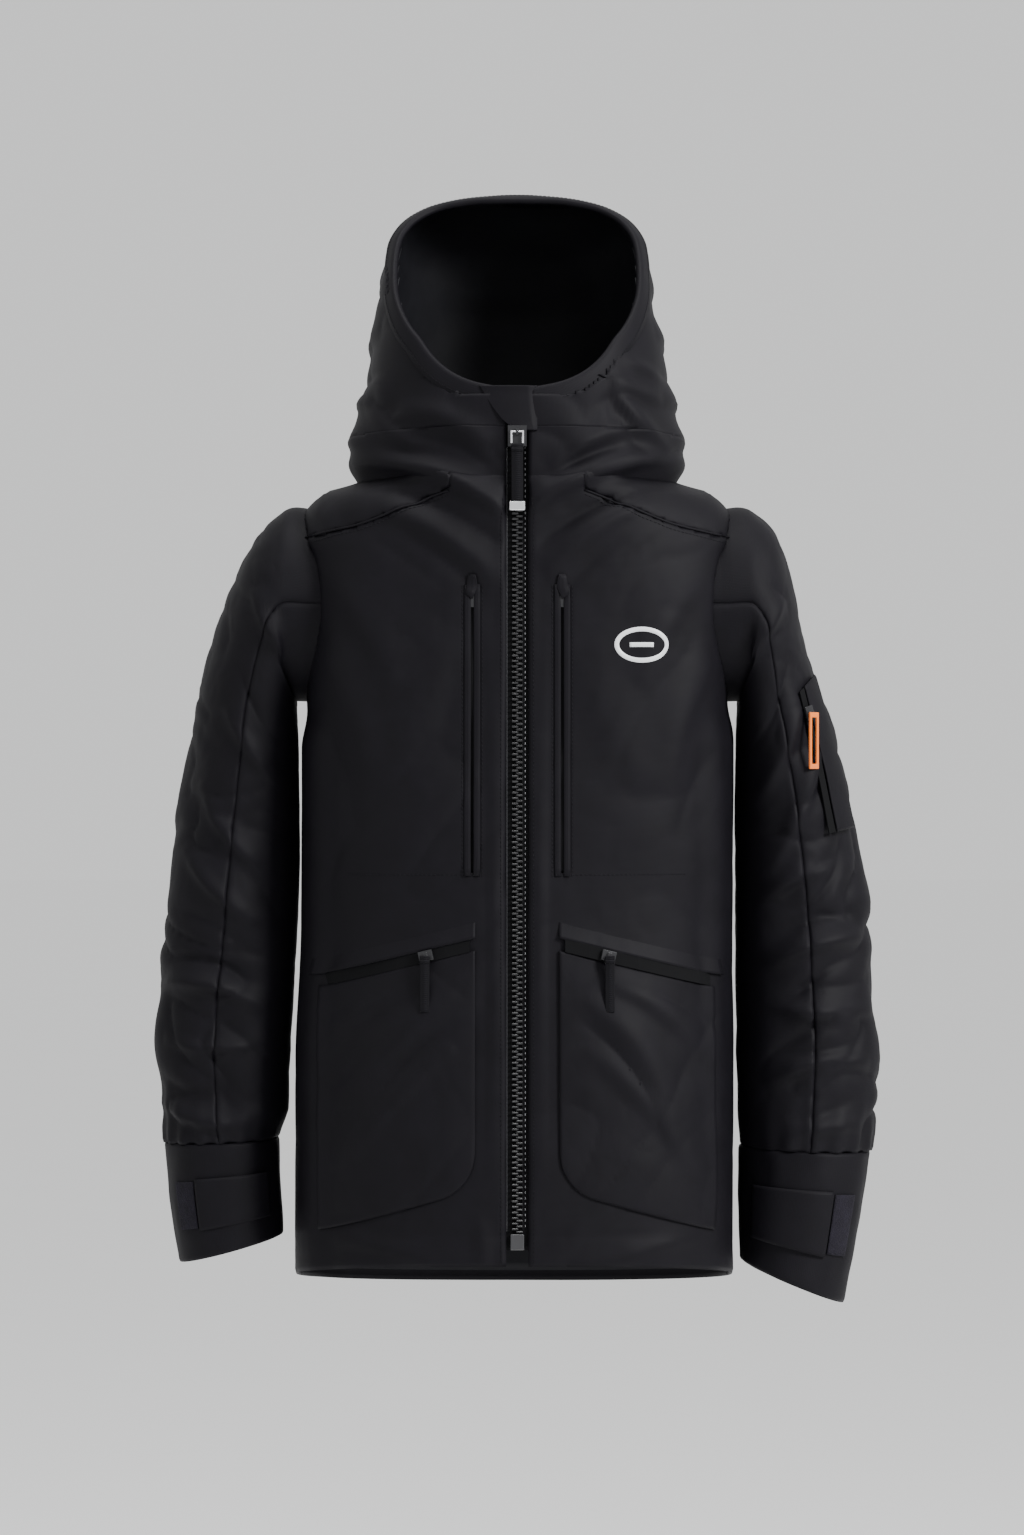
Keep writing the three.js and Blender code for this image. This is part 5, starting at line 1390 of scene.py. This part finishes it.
print("stitching")
seams = []
for side in (1, -1):
    seams.append(trace(line2d((side * 12.5, -34), (side * 12.5, -632), gap=6))[0])
    for x0 in (body["slotX"] - stitch["fromSlot"], body["slotX"] + stitch["fromSlot"]):
        seams.append(trace(line2d((side * x0, -100), (side * x0, -324), gap=6))[0])
    yokeLine = trace(line2d((side * 52, -28), (side * 118, -54), (side * 160, -64), gap=5))[0]
    seams.append(yokeLine - [0, 0, 2.5])
    seams.append(trace(line2d((side * 37, -322), (side * 130, -322), gap=6))[0])
makePiece("bodyStitching", stitches(seams, shellTree), "thread", "jacket_body")
pipes = []
for side in (1, -1):
    path, normals = trace(line2d((side * 52, -27), (side * 118, -52), (side * 156, -60.6), gap=4))
    pipes.append(sweep(path + normals * 0.1, normals, disc(0.9)))
makePiece("yokePiping", joinMeshes(pipes), "shell", "jacket_body")

brimLines = [rimWhole + backwards * flip * 12.6 + rimNormals * 1.6]  # near the brim's back edge
makePiece("brimStitching", stitches(brimLines), "thread", "neck")


mark = {"centre": (95, -146), "wide": 38, "tall": 24, "bar": 9, "stroke": 3.6, "thick": 0.35, "lift": 0.1}


def markMesh():  # a plain open ring with a bar in it, as a heat transfer
    cx, cz = mark["centre"]
    ring = [(cx + mark["wide"] / 2 * math.cos(a), cz + mark["tall"] / 2 * math.sin(a))
            for a in np.linspace(0, 2 * math.pi, 49)[:-1]]
    bar = line2d((cx - mark["bar"], cz), (cx + mark["bar"], cz), gap=2)
    parts = []
    for path, closed in ((ring, True), (bar, False)):
        points, normals = trace(path)
        parts.append(sweep(points + normals * mark["lift"], normals,
                           roundedBand(mark["stroke"], mark["thick"], corner=2), closed=closed))
    return joinMeshes(parts)


print("chest mark")
makePiece("chestMark", markMesh(), "print", "jacket_body")


studio = {
    "floorZ": -1.5, "floorHalf": 60, "paper": (0.97, 0.97, 0.97), "sky": (0.985, 0.99, 0.99),
    "skyStrength": 0.9, "distance": 3.5, "viewHeight": 1.181, "film": 36, "aim": (-0.004, -0.165, -0.264),
    "lightAim": (0, -0.08, -0.25),
    # place, size, power
    "lights": {"keyLight": ((2.4, -1.9, 1.3), (0.9, 1.2), 210),
               "fillLight": ((-2.8, -1.9, 0.7), (1.4, 1.8), 20),
               "topLight": ((0, -0.4, 2.5), (1.4, 0.9), 70)},
}


def makeStage():
    bm = bmesh.new()
    bmesh.ops.create_grid(bm, x_segments=8, y_segments=8, size=studio["floorHalf"],
                          matrix=Matrix.Translation((0, 0, studio["floorZ"])))
    mesh = bpy.data.meshes.new("studioFloor")
    bm.to_mesh(mesh)
    bm.free()
    paper, tree, shader = newMaterial("studioPaper", studio["paper"], 0.95, specular=0.0)
    mottled(tree, shader, studio["paper"], 0.004, 3.0)
    mesh.materials.append(paper)
    stage = bpy.data.objects.new("studioFloor", mesh)
    bpy.context.scene.collection.objects.link(stage)


def makeLight(name, place, size, power):
    data = bpy.data.lights.new(name, "AREA")
    data.shape, data.size, data.size_y = "RECTANGLE", size[0], size[1]
    data.energy = power
    light = bpy.data.objects.new(name, data)
    light.location = place
    light.rotation_euler = (Vector(studio["lightAim"]) - Vector(place)).to_track_quat("-Z", "Y").to_euler()
    bpy.context.scene.collection.objects.link(light)


print("studio")
makeStage()
for name, (place, size, power) in studio["lights"].items():
    makeLight(name, place, size, power)
world = bpy.data.worlds.new("studioAir")
world.use_nodes = True
air = world.node_tree.nodes["Background"]
air.inputs["Color"].default_value = (*studio["sky"], 1)
air.inputs["Strength"].default_value = studio["skyStrength"]
bpy.context.scene.world = world

lens = bpy.data.cameras.new("camera")
lens.sensor_fit, lens.sensor_height = "VERTICAL", studio["film"]
lens.lens = studio["film"] * studio["distance"] / studio["viewHeight"]
lens.clip_end = 50
camera = bpy.data.objects.new("camera", lens)
aim = Vector(studio["aim"])
camera.location = aim + Vector((0, -studio["distance"], 0))
camera.rotation_euler = (math.pi / 2, 0, 0)
bpy.context.scene.collection.objects.link(camera)
bpy.context.scene.camera = camera

print("finishing")
